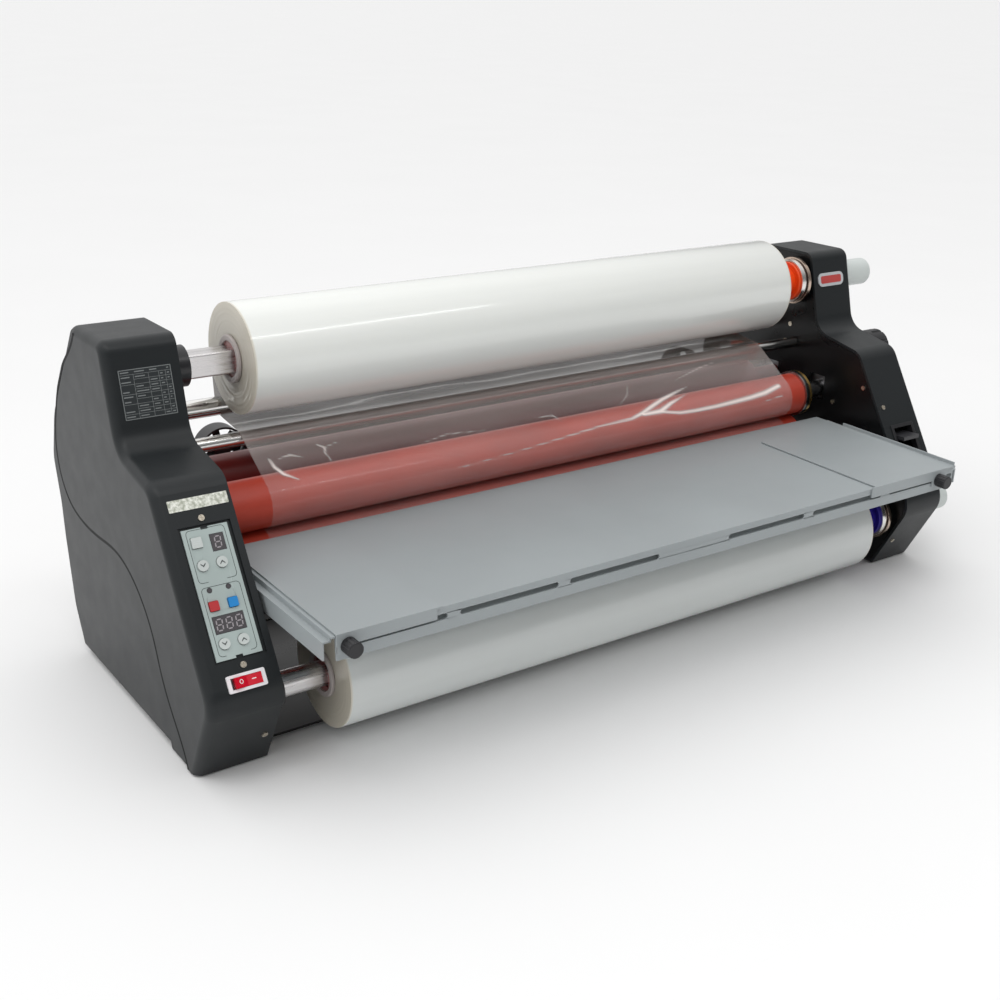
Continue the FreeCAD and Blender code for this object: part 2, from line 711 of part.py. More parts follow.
def nip_blocks():
    """Bearing blocks of the two upper rollers, joined by a cross bar."""
    parts = []
    for x0, x1 in (block_left, block_right):
        block = box(x0, x1, -1, 121, lift_bottom, 204)
        toe = box(x0, x1, -26, 0, lift_bottom, 174)
        bores = [cyl_x(x0 - 1, x1 + 1, (y, upper_z), shaft_r + running) for y in (heat_y, pull_y)]
        parts.append(cut(fuse([block, toe]), bores))
    parts.append(box(block_left[1] - 1, block_right[0] + 1, 56, 66, 176, 186))
    grip_x1 = block_right[1] + 9
    parts.append(box(block_right[1] - 1, grip_x1, heat_y - 6, heat_y + 6, 199, 204))
    grip = box(grip_x1 - 2.5, grip_x1, heat_y - 10, heat_y + 10, upper_z - 9, 204)
    parts.append(grip.cut(cyl_x(grip_x1 - 4, grip_x1 + 1, (heat_y, upper_z), heater_r)))
    return fuse(parts)


def nip_lever():
    y, z = lever_axis
    shaft = cyl_x(XL_IN - 20, lever_slot_x[1] - 2.5, lever_axis, lever_shaft_r)
    parts = [shaft]
    for x0, x1 in ((XL_IN - 16, XL_IN - 7), (XR_IN + 7, XR_IN + 16)):
        parts.append(cyl_x(x0, x1, (y + cam_offset, z), cam_r - 0.3))
        parts.append(box(x0, x1, y, y + cam_offset, z - cam_arm_half, z + cam_arm_half))
    blade_x0 = lever_slot_x[0] + 3.0
    blade_x1 = lever_slot_x[1] - 2.5
    blade = box(blade_x0, blade_x1, y - blade_length, y, z - 2, z + 2)
    blade.rotate(V(0, y, z), V(1, 0, 0), -4.0)
    parts.append(blade)
    return fuse(parts)


def pressure_knob():
    knob = cyl_x(XR_OUT + 1, XR_OUT + 26, knob_axis, knob_r)
    end = [e for e in knob.Edges if e.BoundBox.XMin > XR_OUT + 25.9]
    knob = knob.makeFillet(2.5, end)
    grooves = []
    for k in range(10):
        angle = 2 * math.pi * k / 10
        at = (knob_axis[0] + (knob_r + 1.5) * math.cos(angle),
              knob_axis[1] + (knob_r + 1.5) * math.sin(angle))
        grooves.append(cyl_x(XR_OUT + 8, XR_OUT + 27, at, 3.0))
    return fuse([cut(knob, grooves), cyl_x(XR_OUT - 14, XR_OUT + 2, knob_axis, 5.0)])


# ---------------------------------------------------------------- feed table
flange_low = 133.0
rail_front = table_front + 4.0
rail_rear = -38.0                # clear of the lever's cross shaft
slot_z = (143.0, 148.0)
guide_t = 1.5
guide_z = table_z + 0.3
TABLE_SLOTS = [(-386, -288), (-276, -178), (-166, -67), (17, 116), (128, 226), (238, 336)]
stud_z = 145.5
left_stud_x = -378.0
right_stud_x = 312.0
guide_knob_end = -207.29
guide_knob_r = 6.8


def feed_table():
    """Bent sheet table: top, slotted front flange and two stepped side rails."""
    notch = 12.0
    top = box(table_x0, table_x1, table_front, table_rear, table_z - sheet, table_z)
    flange = box(table_x0 + notch * 0.3, table_x1 - notch * 0.3, table_front,
                 table_front + sheet, flange_low, table_z)
    lining = box(table_x0 + 7, table_x1 - 7, table_front + 8, table_front + 9.5, 136, table_z - 1)
    parts = [top, flange, lining]
    for inner, outer in ((table_x0, table_x0 - 6), (table_x1, table_x1 + 6)):
        a, b = min(inner, outer), max(inner, outer)
        lap = inner + (inner - outer) / 3
        parts.append(box(min(inner, lap), max(inner, lap), rail_front, rail_rear, 148, table_z))
        parts.append(box(a, b, rail_front, rail_rear, 148, 149.6))
        edge = outer if outer < inner else outer - 1.6
        parts.append(box(edge, edge + 1.6, rail_front, rail_rear, 134, 149.6))
    body = fuse(parts)
    tools = []
    for x0, x1 in TABLE_SLOTS:
        slot = box(x0 + 2.5, x1 - 2.5, table_front - 5, table_front + 5, *slot_z)
        tools.append(slot)
        for x in (x0 + 2.5, x1 - 2.5):
            tools.append(cyl_y(x, sum(slot_z) / 2, table_front - 5, table_front + 5, 2.5))
    return cut(body, tools)


def guide(outline, flange_x, stud_x, fence_x=None):
    """Sliding edge guide: plate on the table, front flange with a tab, optional low fence."""
    points = [V(x, y, guide_z) for x, y in outline]
    face = Part.Face(Part.makePolygon(points + points[:1]))
    front_y = table_front - 0.5
    parts = [face.extrude(V(0, 0, guide_t))]
    parts.append(box(flange_x[0], flange_x[1], front_y - guide_t, front_y, 145.5, guide_z + guide_t))
    tab = box(stud_x - 9, stud_x + 9, front_y - guide_t, front_y, 139, 146.5)
    parts.append(tab)
    if fence_x is not None:
        parts.append(box(fence_x, fence_x + guide_t, front_y, -40, guide_z, guide_z + 5))
    body = fuse(parts)
    return body.cut(cyl_y(stud_x, stud_z, front_y - 5, front_y + 2, 2.0 + running))


def left_guide():
    x0, x1 = table_x0 + 3, -294.5
    outline = [(x0, table_front - 2), (x1, table_front - 2), (x1, -28), (-340, -18), (x0, -12)]
    return guide(outline, (x0, -299), left_stud_x)


def right_guide():
    x0, x1 = 215.5, table_x1 - 3
    outline = [(x0, table_front - 2), (x1, table_front - 2), (x1, -16), (280, -24), (x0, -33)]
    return guide(outline, (209.5, 325), right_stud_x, x1 - guide_t)


def guide_knob(stud_x):
    y0 = table_front - 0.5 - guide_t - 0.2
    knob = cyl_y(stud_x, stud_z, guide_knob_end, y0, guide_knob_r)
    end = [e for e in knob.Edges if e.BoundBox.YMax < guide_knob_end + 0.01]
    knob = knob.makeFillet(1.2, end)
    flutes = 12
    flute_r = 1.1
    pitch = guide_knob_r + 0.6
    grooves = []
    for k in range(flutes):
        angle = 2 * math.pi * k / flutes
        grooves.append(cyl_y(stud_x + pitch * math.cos(angle), stud_z + pitch * math.sin(angle),
                             guide_knob_end - 1, y0 - 3, flute_r))
    return fuse([cut(knob, grooves), cyl_y(stud_x, stud_z, y0 - 1, table_front + 6, 2.0)])


def press_button(x, z, size, shape):
    column = button_shape(x, z, size, shape, 0.0, button_in, button_out)
    return placed(column, PANEL)


# ---------------------------------------------------------------- export
def build_parts():
    parts = {
        "left_side_frame": side_frame(XL_IN - plate, XL_IN),
        "right_side_frame": side_frame(XR_IN, XR_IN + plate),
        "base_plate": base_plate(),
        "fan_bar": fan_bar(),
        "left_cover": left_cover(),
        "right_cover": right_cover(),
        "rubber_feet": rubber_feet(),
        "cover_screws": cover_screws(),
        "control_fascia": control_fascia(),
        "display_windows": display_windows(),
        "cover_labels": cover_labels(),
        "rocker_bezel": rocker_bezel(),
        "power_rocker": power_rocker(),
        "round_badge": round_badge(),
        "lever_escutcheon": lever_escutcheon(),
        "roll_sockets": roll_sockets(),
        "brake_rings": brake_rings(),
        "upper_heater_rod": heater_rod(upper_z),
        "lower_heater_rod": heater_rod(lower_z),
        "gear_motor": gear_motor(),
        "control_electronics": control_electronics(),
        "power_inlet": power_inlet(),
        "fan_frames": fan_frames(),
        "upper_web": upper_web(),
        "lower_web": lower_web(),
        "upper_film_roll": film_roll(upper_roll, upper_roll_r),
        "upper_core": roll_core(upper_roll),
        "upper_mandrel": mandrel(upper_roll, 2.0),
        "upper_tension_knob": tension_knob(upper_roll),
        "lower_film_roll": film_roll(lower_roll, lower_roll_r),
        "lower_core": roll_core(lower_roll),
        "lower_mandrel": mandrel(lower_roll, 8.0),
        "lower_tension_knob": tension_knob(lower_roll),
        "rear_idler": idler(rear_idler, rear_idler_r),
        "front_idler": idler(front_idler, front_idler_r),
        "lower_idler": idler(lower_idler, lower_idler_r),
        "nip_blocks": nip_blocks(),
        "upper_web_nip": upper_web_nip(),
        "upper_heat_sleeve": roller_sleeve(heat_y, upper_z),
        "upper_heat_shaft": roller_shaft(heat_y, upper_z, XL_IN - 22, XR_IN + 22, None, True),
        "lower_heat_sleeve": roller_sleeve(heat_y, lower_z),
        "lower_heat_shaft": roller_shaft(heat_y, lower_z, XL_IN - 14, XR_IN + 36, XR_IN + 24),
        "upper_pull_roller": pull_roller(pull_y, upper_z, XL_IN - 22, XR_IN + 22),
        "lower_pull_roller": pull_roller(pull_y, lower_z, XL_IN - 6, XR_IN + 36, XR_IN + 24),
        "nip_lever": nip_lever(),
        "pressure_knob": pressure_knob(),
        "feed_table": feed_table(),
        "left_guide": left_guide(),
        "right_guide": right_guide(),
        "left_guide_knob": guide_knob(left_stud_x),
        "right_guide_knob": guide_knob(right_stud_x),
        "left_fan_rotor": fan_rotor(fan_x[0]),
        "right_fan_rotor": fan_rotor(fan_x[1]),
    }
    for name, (x, z, size) in SQUARE_BUTTONS.items():
        parts[name] = press_button(x, z, size, "square")
    for name, (x, z) in ROUND_BUTTONS.items():
        parts[name] = press_button(x, z, round_button_r, "round")
    return parts


os.makedirs("parts", exist_ok=True)
for name, shape in build_parts().items():
    shape.translate(V(0, y_shift, 0))
    shape.exportStep("parts/" + name + ".step")
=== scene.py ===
"""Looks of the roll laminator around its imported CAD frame. Metres, +X along the rollers, +Z up."""
import json
import math
import random

import bpy
from mathutils import Matrix, Vector, noise


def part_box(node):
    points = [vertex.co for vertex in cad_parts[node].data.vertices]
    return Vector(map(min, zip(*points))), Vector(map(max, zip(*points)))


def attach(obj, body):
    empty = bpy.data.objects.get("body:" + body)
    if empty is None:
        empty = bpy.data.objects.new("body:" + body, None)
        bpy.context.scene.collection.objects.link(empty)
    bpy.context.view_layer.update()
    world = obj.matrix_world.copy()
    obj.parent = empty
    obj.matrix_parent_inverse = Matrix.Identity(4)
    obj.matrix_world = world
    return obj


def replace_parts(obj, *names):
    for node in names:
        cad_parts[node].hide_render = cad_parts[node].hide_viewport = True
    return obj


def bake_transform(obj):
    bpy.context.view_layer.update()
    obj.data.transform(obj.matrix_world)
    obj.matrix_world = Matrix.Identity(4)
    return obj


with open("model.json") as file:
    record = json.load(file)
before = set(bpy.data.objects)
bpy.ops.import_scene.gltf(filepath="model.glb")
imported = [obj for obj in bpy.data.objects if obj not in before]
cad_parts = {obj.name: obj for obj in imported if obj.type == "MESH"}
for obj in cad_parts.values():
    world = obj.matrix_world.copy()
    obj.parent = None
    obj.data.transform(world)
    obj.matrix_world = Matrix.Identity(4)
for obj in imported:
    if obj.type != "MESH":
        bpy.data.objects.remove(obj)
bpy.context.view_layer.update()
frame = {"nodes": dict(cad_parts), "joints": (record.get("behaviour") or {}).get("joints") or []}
NODES = frame["nodes"]
JOINTS = {joint["name"]: joint for joint in frame["joints"]}
MM = 0.001
random.seed(11)


# ------------------------------------------------------------------ materials
def new_material(name, colour, roughness, **sockets):
    """A Principled material; every extra socket is set by its own name."""
    material = bpy.data.materials.new(name)
    material.use_nodes = True
    shader = material.node_tree.nodes["Principled BSDF"]
    shader.inputs["Base Color"].default_value = (*colour, 1.0)
    shader.inputs["Roughness"].default_value = roughness
    for socket, value in sockets.items():
        shader.inputs[socket.replace("_", " ")].default_value = value
    return material


def shader_of(material):
    return material.node_tree.nodes["Principled BSDF"]


def add_node(material, kind, **values):
    node = material.node_tree.nodes.new(kind)
    for key, value in values.items():
        setattr(node, key, value)
    return node


def link(material, output, socket):
    material.node_tree.links.new(output, socket)


def coordinates(material, stretch=(1, 1, 1)):
    """Object coordinates, squeezed per axis so that a pattern can run along a direction."""
    source = add_node(material, "ShaderNodeTexCoord")
    mapping = add_node(material, "ShaderNodeMapping")
    mapping.inputs["Scale"].default_value = stretch
    link(material, source.outputs["Object"], mapping.inputs["Vector"])
    return mapping.outputs["Vector"]


def noise_field(material, scale, detail=3.0, stretch=(1, 1, 1)):
    texture = add_node(material, "ShaderNodeTexNoise")
    texture.inputs["Scale"].default_value = scale
    texture.inputs["Detail"].default_value = detail
    link(material, coordinates(material, stretch), texture.inputs["Vector"])
    return texture.outputs["Fac"]


def mapped(material, field, low, high, start=0.3, end=0.7):
    node = add_node(material, "ShaderNodeMapRange")
    node.inputs["From Min"].default_value = start
    node.inputs["From Max"].default_value = end
    node.inputs["To Min"].default_value = low
    node.inputs["To Max"].default_value = high
    link(material, field, node.inputs["Value"])
    return node.outputs["Result"]


def two_tone(material, field, dark, light, start=0.3, end=0.7):
    """Colour that runs from dark to light as a field goes from start to end."""
    ramp = add_node(material, "ShaderNodeValToRGB")
    for element, place, colour in zip(ramp.color_ramp.elements, (start, end), (dark, light)):
        element.position = place
        element.color = (*colour, 1.0)
    link(material, field, ramp.inputs["Fac"])
    return ramp.outputs["Color"]


def vary_colour(material, field, dark, light, start=0.3, end=0.7):
    skin = two_tone(material, field, dark, light, start, end)
    link(material, skin, shader_of(material).inputs["Base Color"])


def vary_roughness(material, field, low, high):
    link(material, mapped(material, field, low, high), shader_of(material).inputs["Roughness"])


def bump(material, field, distance, strength=1.0):
    node = add_node(material, "ShaderNodeBump")
    node.inputs["Strength"].default_value = strength
    node.inputs["Distance"].default_value = distance
    link(material, field, node.inputs["Height"])
    link(material, node.outputs["Normal"], shader_of(material).inputs["Normal"])


def scaled(colour, factor):
    return tuple(min(1.0, channel * factor) for channel in colour)


def moulded(name, colour, roughness, texture=0.05, grain=1500.0, **sockets):
    """Injection-moulded plastic: fine spark-eroded grain and slight tone changes."""
    material = new_material(name, colour, roughness, **sockets)
    vary_colour(material, noise_field(material, 9.0), scaled(colour, 0.92), scaled(colour, 1.08))
    vary_roughness(material, noise_field(material, 45.0), roughness - 0.02, roughness + 0.03)
    bump(material, noise_field(material, grain, 2.0), texture * MM, 0.5)
    return material


def painted(name, colour, roughness, **sockets):
    """Powder-coated sheet metal with a faint orange peel."""
    material = new_material(name, colour, roughness, **sockets)
    vary_colour(material, noise_field(material, 5.0), scaled(colour, 0.94), scaled(colour, 1.05))
    vary_roughness(material, noise_field(material, 18.0), roughness - 0.05, roughness + 0.07)
    bump(material, noise_field(material, 700.0, 2.0), 0.04 * MM, 0.35)
    return material


def turned(name, colour, roughness, stretch=(40, 1, 1), **sockets):
    """Machined metal with fine marks that run across the stretched axis."""
    material = new_material(name, colour, roughness, Metallic=1.0, **sockets)
    marks = noise_field(material, 60.0, 4.0, stretch)
    vary_colour(material, marks, scaled(colour, 0.82), scaled(colour, 1.08))
    vary_roughness(material, marks, max(0.03, roughness - 0.06), roughness + 0.08)
    bump(material, marks, 0.02 * MM, 0.25)
    return material


def silicone(name, colour, roughness):
    """Smooth roller covering with dust and faint ground marks round the roller."""
    material = new_material(name, colour, roughness, Specular_IOR_Level=0.42)
    vary_colour(material, noise_field(material, 14.0, 5.0, (1, 3, 3)),
                scaled(colour, 0.88), scaled(colour, 1.12))
    vary_roughness(material, noise_field(material, 22.0, 4.0, (1, 4, 4)), roughness - 0.06,
                   roughness + 0.08)
    bump(material, noise_field(material, 900.0, 3.0, (1, 0.1, 0.1)), 0.03 * MM, 0.35)
    return material


def banded(name, bands, roughness, metallic):
    """Colour that changes in bands along X: bands are (start in metres, colour)."""
    material = new_material(name, bands[0][1], roughness, Metallic=metallic)
    split = add_node(material, "ShaderNodeSeparateXYZ")
    link(material, coordinates(material), split.inputs["Vector"])
    low = bands[0][0]
    span = bands[-1][0] - low
    place = mapped(material, split.outputs[0], 0.0, 1.0, low, bands[-1][0])
    ramp = add_node(material, "ShaderNodeValToRGB")
    ramp.color_ramp.interpolation = "CONSTANT"
    elements = ramp.color_ramp.elements
    while len(elements) < len(bands):
        elements.new(0.5)
    for element, (start, colour) in zip(elements, bands):
        element.position = (start - low) / span
        element.color = (*colour, 1.0)
    link(material, place, ramp.inputs["Fac"])
    link(material, ramp.outputs["Color"], shader_of(material).inputs["Base Color"])
    vary_roughness(material, noise_field(material, 40.0), roughness - 0.05, roughness + 0.07)
    bump(material, noise_field(material, 800.0), 0.02 * MM, 0.3)
    return material


def wound_film(name, axis_y, axis_z, colour, edge_colour, half_length, centre_x):
    """Milky wound film: glossy along the roll, warm and finely ringed on the end faces."""
    material = new_material(name, colour, 0.3, Coat_Weight=0.75, Coat_Roughness=0.09,
                            Subsurface_Weight=0.12, Subsurface_Scale=0.01,
                            Subsurface_Radius=(1.0, 0.95, 0.85))
    split = add_node(material, "ShaderNodeSeparateXYZ")
    link(material, coordinates(material), split.inputs["Vector"])
    off_y = math_node(material, "SUBTRACT", split.outputs[1], axis_y)
    off_z = math_node(material, "SUBTRACT", split.outputs[2], axis_z)
    square = math_node(material, "ADD", math_node(material, "POWER", off_y, 2.0),
                       math_node(material, "POWER", off_z, 2.0))
    radius = math_node(material, "SQRT", square, 0.0)
    rings = math_node(material, "SINE", math_node(material, "MULTIPLY", radius, 9000.0), 0.0)
    warm = mapped(material, radius, 0.0, 1.0, 0.018, 0.05)
    ends = two_tone(material, warm, scaled(edge_colour, 0.72), edge_colour, 0.0, 1.0)
    reach = math_node(material, "ABSOLUTE", math_node(material, "SUBTRACT", split.outputs[0],
                                                       centre_x), 0.0)
    end_face = mapped(material, reach, 0.0, 1.0, half_length - 0.0025, half_length - 0.0004)
    streaks = noise_field(material, 26.0, 4.0, (0.04, 1, 1))
    body = two_tone(material, streaks, scaled(colour, 0.93), scaled(colour, 1.04))
    skin = blended(material, end_face, body, ends)
    link(material, skin, shader_of(material).inputs["Base Color"])
    link(material, mapped(material, end_face, 0.26, 0.5, 0.0, 1.0),
         shader_of(material).inputs["Roughness"])
    height = math_node(material, "MULTIPLY", rings, end_face)
    bump(material, height, 0.05 * MM, 0.3)
    return material


def math_node(material, operation, first, second):
    node = add_node(material, "ShaderNodeMath", operation=operation)
    for socket, value in ((node.inputs[0], first), (node.inputs[1], second)):
        if isinstance(value, (int, float)):
            socket.default_value = value
        else:
            link(material, value, socket)
    return node.outputs[0]


SPAN_PAINTED_SHADE_VEIL = 0.66                 # painted shade: how much denser the film is drawn in its free span
# painted highlight: the film's creases are drawn denser and whiter, standing in for the lamps'
# glints on them
CREASE_PAINTED_HIGHLIGHT_VEIL = 0.85
CREASE_PAINTED_HIGHLIGHT = (0.97, 0.86, 0.82)


def clear_film(name, colour, veil, span_shade_colour=None):
    """Clear film: a thin veil that grows at grazing angles, with a painted highlight along creases
    and painted shade, a darker and denser veil, in free spans.
    """
    material = new_material(name, colour, 0.12, Specular_IOR_Level=0.9, Coat_Weight=1.0,
                            Coat_Roughness=0.05)
    facing = add_node(material, "ShaderNodeLayerWeight")
    facing.inputs["Blend"].default_value = 0.35
    alpha = mapped(material, facing.outputs["Facing"], veil, min(1.0, veil * 2.4), 0.25, 1.0)
    haze = mapped(material, noise_field(material, 12.0, 4.0, (0.3, 1, 1)), -0.05, 0.06)
    alpha = math_node(material, "ADD", alpha, haze)
    if span_shade_colour is not None:
        # painted shade darkens the free span; painted highlight whitens the creases
        span = add_node(material, "ShaderNodeAttribute", attribute_name="span")
        crease = add_node(material, "ShaderNodeAttribute", attribute_name="crease")
        alpha = math_node(material, "ADD", alpha,
                          math_node(material, "MULTIPLY", span.outputs["Fac"], SPAN_PAINTED_SHADE_VEIL))
        alpha = math_node(material, "ADD", alpha,
                          math_node(material, "MULTIPLY", crease.outputs["Fac"], CREASE_PAINTED_HIGHLIGHT_VEIL))
        tint = blended(material, span.outputs["Fac"], colour, span_shade_colour)
        tint = blended(material, crease.outputs["Fac"], tint, CREASE_PAINTED_HIGHLIGHT)
        link(material, tint, shader_of(material).inputs["Base Color"])
    limit = add_node(material, "ShaderNodeClamp")
    link(material, alpha, limit.inputs["Value"])
    link(material, limit.outputs["Result"], shader_of(material).inputs["Alpha"])
    vary_roughness(material, noise_field(material, 20.0), 0.08, 0.18)
    return material


def blended(material, share, first, second):
    """Mix of two colours, each a plain colour or another node's output."""
    mix = add_node(material, "ShaderNodeMix", data_type="RGBA")
    link(material, share, mix.inputs[0])
    for socket, value in ((mix.inputs[6], first), (mix.inputs[7], second)):
        if isinstance(value, tuple):
            socket.default_value = (*value, 1.0)
        else:
            link(material, value, socket)
    return mix.outputs[2]


CHARCOAL = (0.0105, 0.013, 0.0145)
PAINT_GREY = (0.315, 0.345, 0.355)
RED_RUBBER = (0.43, 0.045, 0.024)

film_low, film_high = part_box("upper_film_roll")
film_centre_x = (film_low.x + film_high.x) / 2
film_half = (film_high.x - film_low.x) / 2
heat_low, heat_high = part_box("upper_heat_sleeve")

MATERIALS = {
    "cover": moulded("cover_charcoal", CHARCOAL, 0.40, 0.12, 1300.0, Specular_IOR_Level=0.34),
    # painted shadow: the covers' crease line is drawn as a near-black bead, standing in for the
    # shadow of the step
    "crease": moulded("cover_crease_painted_shadow", scaled(CHARCOAL, 0.25), 0.55, 0.0, 900.0,
                      Specular_IOR_Level=0.2),
    "frame": painted("frame_black", (0.004, 0.004, 0.0045), 0.3, Specular_IOR_Level=0.3),
    "feet": moulded("foot_rubber", (0.02, 0.02, 0.02), 0.75),
    "screw": turned("screw_steel", (0.66, 0.60, 0.50), 0.28, (8, 8, 8)),
    "fascia": moulded("fascia_grey", (0.40, 0.47, 0.455), 0.42, 0.02, 2600.0),
    "display": moulded("display_dark", (0.055, 0.05, 0.055), 0.22, 0.0, 900.0, Coat_Weight=0.6),
    "white": moulded("trim_white", (0.56, 0.60, 0.585), 0.34, 0.02, 1800.0),
    "bezel": moulded("bezel_white", (0.80, 0.78, 0.80), 0.32, 0.02, 1800.0),
    "rocker": moulded("rocker_red", (0.62, 0.004, 0.022), 0.2, 0.01, 900.0, Coat_Weight=0.4),
    "badge": moulded("badge_silver", (0.62, 0.64, 0.66), 0.3, 0.01, 900.0, Metallic=0.35),
    "black": moulded("trim_black", (0.014, 0.014, 0.016), 0.3, 0.03, 1500.0),
    "chrome": turned("ring_chrome", (0.78, 0.77, 0.75), 0.14, (0.3, 6, 6)),
    "heater": moulded("heater_ceramic", (0.7, 0.68, 0.62), 0.6),
    "motor": painted("motor_metal", (0.18, 0.18, 0.19), 0.4, Metallic=0.5),
    "board": moulded("board_green", (0.02, 0.13, 0.05), 0.45),
    "fan": moulded("fan_black", (0.018, 0.018, 0.02), 0.38, 0.04, 1200.0),
    "aluminium": turned("mandrel_aluminium", (0.70, 0.68, 0.68), 0.27, (0.2, 5, 5)),
    "steel": turned("nip_steel", (0.36, 0.36, 0.37), 0.35),
    "shaft": turned("shaft_steel", (0.5, 0.5, 0.5), 0.3, (12, 1, 1)),
    "heat_red": silicone("silicone_red", RED_RUBBER, 0.42),
    # painted shade: the pull rollers are the same red silicone as the heat sleeves, coloured darker
    # to stand in for the shade they sit in
    "pull_red": silicone("pull_red", (0.17, 0.014, 0.012), 0.36),
    "lever": painted("lever_grey", (0.03, 0.03, 0.034), 0.4),
    "knob": moulded("knob_black", (0.012, 0.012, 0.014), 0.42, 0.06, 1400.0),
    "table": painted("table_grey", PAINT_GREY, 0.42),
    "heater_key": moulded("button_red", (0.50, 0.03, 0.035), 0.28, 0.02, 1500.0),
    "ready_key": moulded("button_blue", (0.012, 0.24, 0.62), 0.28, 0.02, 1500.0),
    "pale_mark": moulded("mark_pale", (0.62, 0.66, 0.65), 0.45, 0.0, 900.0),
    "dark_mark": moulded("mark_dark", (0.05, 0.06, 0.06), 0.5, 0.0, 900.0),
    "segment": moulded("segment_grey", (0.36, 0.33, 0.35), 0.35, 0.0, 900.0),
    "label_mark": moulded("mark_label", (0.20, 0.215, 0.215), 0.45, 0.0, 900.0),
    "mark_white": moulded("mark_white", (0.85, 0.80, 0.80), 0.4, 0.0, 900.0),
    "badge_red": moulded("badge_red", (0.46, 0.06, 0.055), 0.32, 0.0, 900.0),
    "label_black": moulded("label_black", (0.02, 0.024, 0.026), 0.32, 0.0, 900.0),
    "core_ring": moulded("core_ring", (0.40, 0.36, 0.345), 0.45, 0.02, 900.0),
}

ring_low, ring_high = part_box("brake_rings")
MATERIALS["brake"] = banded("ring_bands", [
    (ring_low.x - 1 * MM, (0.80, 0.79, 0.77)),
    (ring_low.x + 6 * MM, (0.06, 0.05, 0.05)),
    (ring_low.x + 8 * MM, (0.58, 0.46, 0.38)),
    (ring_low.x + 12 * MM, (0.03, 0.03, 0.03)),
    (ring_high.x + 1 * MM, (0.3, 0.3, 0.3))], 0.2, 1.0)
MATERIALS["heat_shaft"] = banded("heat_shaft_bands", [
    (-0.46, (0.30, 0.22, 0.12)),
    (heat_low.x, (0.42, 0.42, 0.42)),
    (heat_high.x - 1 * MM, (0.10, 0.10, 0.095)),
    (heat_high.x + 5 * MM, (0.78, 0.52, 0.18)),
    (heat_high.x + 10 * MM, (0.42, 0.42, 0.42)),
    (0.44, (0.4, 0.4, 0.4))], 0.25, 1.0)
ORANGE = (0.86, 0.075, 0.008)
BLUE = (0.022, 0.012, 0.26)
for which, chuck in (("upper_core", ORANGE), ("lower_core", BLUE)):
    MATERIALS[which] = banded(which + "_bands", [
        (film_low.x - 0.02, (0.26, 0.10, 0.095)),
        (film_centre_x, chuck),
        (film_high.x + 0.03, chuck)], 0.3, 0.0)


def axis_of(node):
    """Centre line (y, z) and radius of a round node that lies along X."""
    low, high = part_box(node)
    return (low.y + high.y) / 2, (low.z + high.z) / 2, (high.z - low.z) / 2


# the two rolls are the same film; the lower roll's darker tone is painted shade from the feed table
# above it
ROLL_TONES_WITH_PAINTED_SHADE = {"upper": (0.80, 0.815, 0.785), "lower": (0.70, 0.73, 0.72)}
for which in ("upper", "lower"):
    roll_y, roll_z, roll_r = axis_of(which + "_film_roll")
    MATERIALS[which + "_film"] = wound_film(
        which + "_wound_film", roll_y, roll_z, ROLL_TONES_WITH_PAINTED_SHADE[which], (0.60, 0.56, 0.47),
        film_half, film_centre_x)
# the darker span colour is painted shade on the web under the roll
MATERIALS["web"] = clear_film("film_clear", (0.76, 0.70, 0.68), 0.15, (0.22, 0.185, 0.165))
MATERIALS["plain_web"] = clear_film("film_tail", (0.74, 0.72, 0.70), 0.15)

FINISHES = {
    "frame": ("left_side_frame", "right_side_frame", "base_plate", "fan_bar"),
    "cover": ("left_cover", "right_cover"),
    "feet": ("rubber_feet",),
    "screw": ("cover_screws",),
    "fascia": ("control_fascia",),
    "display": ("display_windows",),
    "label_black": ("cover_labels",),
    "bezel": ("rocker_bezel",),
    "rocker": ("power_rocker",),
    "badge": ("round_badge",),
    "black": ("lever_escutcheon", "roll_sockets", "power_inlet"),
    "brake": ("brake_rings",),
    "heater": ("upper_heater_rod", "lower_heater_rod"),
    "motor": ("gear_motor",),
    "board": ("control_electronics",),
    "fan": ("fan_frames", "left_fan_rotor", "right_fan_rotor"),
    "plain_web": ("upper_web", "lower_web", "upper_web_nip"),
    "upper_film": ("upper_film_roll",),
    "lower_film": ("lower_film_roll",),
    "upper_core": ("upper_core",),
    "lower_core": ("lower_core",),
    "aluminium": ("upper_mandrel", "lower_mandrel"),
    "white": ("upper_tension_knob", "lower_tension_knob", "run_button", "speed_down_button",
              "speed_up_button", "temperature_down_button", "temperature_up_button"),
    "chrome": ("rear_idler", "front_idler", "lower_idler"),
    "steel": ("nip_blocks",),
    "heat_red": ("upper_heat_sleeve", "lower_heat_sleeve"),
    "heat_shaft": ("upper_heat_shaft",),
    "shaft": ("lower_heat_shaft",),
    "pull_red": ("upper_pull_roller", "lower_pull_roller"),
    "lever": ("nip_lever",),
    "knob": ("pressure_knob", "left_guide_knob", "right_guide_knob"),
    "table": ("feed_table", "left_guide", "right_guide"),
    "heater_key": ("heater_button",),
    "ready_key": ("ready_button",),
}
for finish, members in FINISHES.items():
    for member in members:
        NODES[member].data.materials.clear()
        NODES[member].data.materials.append(MATERIALS[finish])


def soften(node, width):
    """Small rounded edges on a CAD node, added as modifiers."""
    node_object = NODES[node]
    weld = node_object.modifiers.new("weld", "WELD")
    weld.merge_threshold = 0.002 * MM
    bevel = node_object.modifiers.new("edges", "BEVEL")
    bevel.width = width
    bevel.segments = 2
    bevel.limit_method = "ANGLE"
    bevel.angle_limit = math.radians(35)
    bevel.use_clamp_overlap = True
    bevel.harden_normals = True


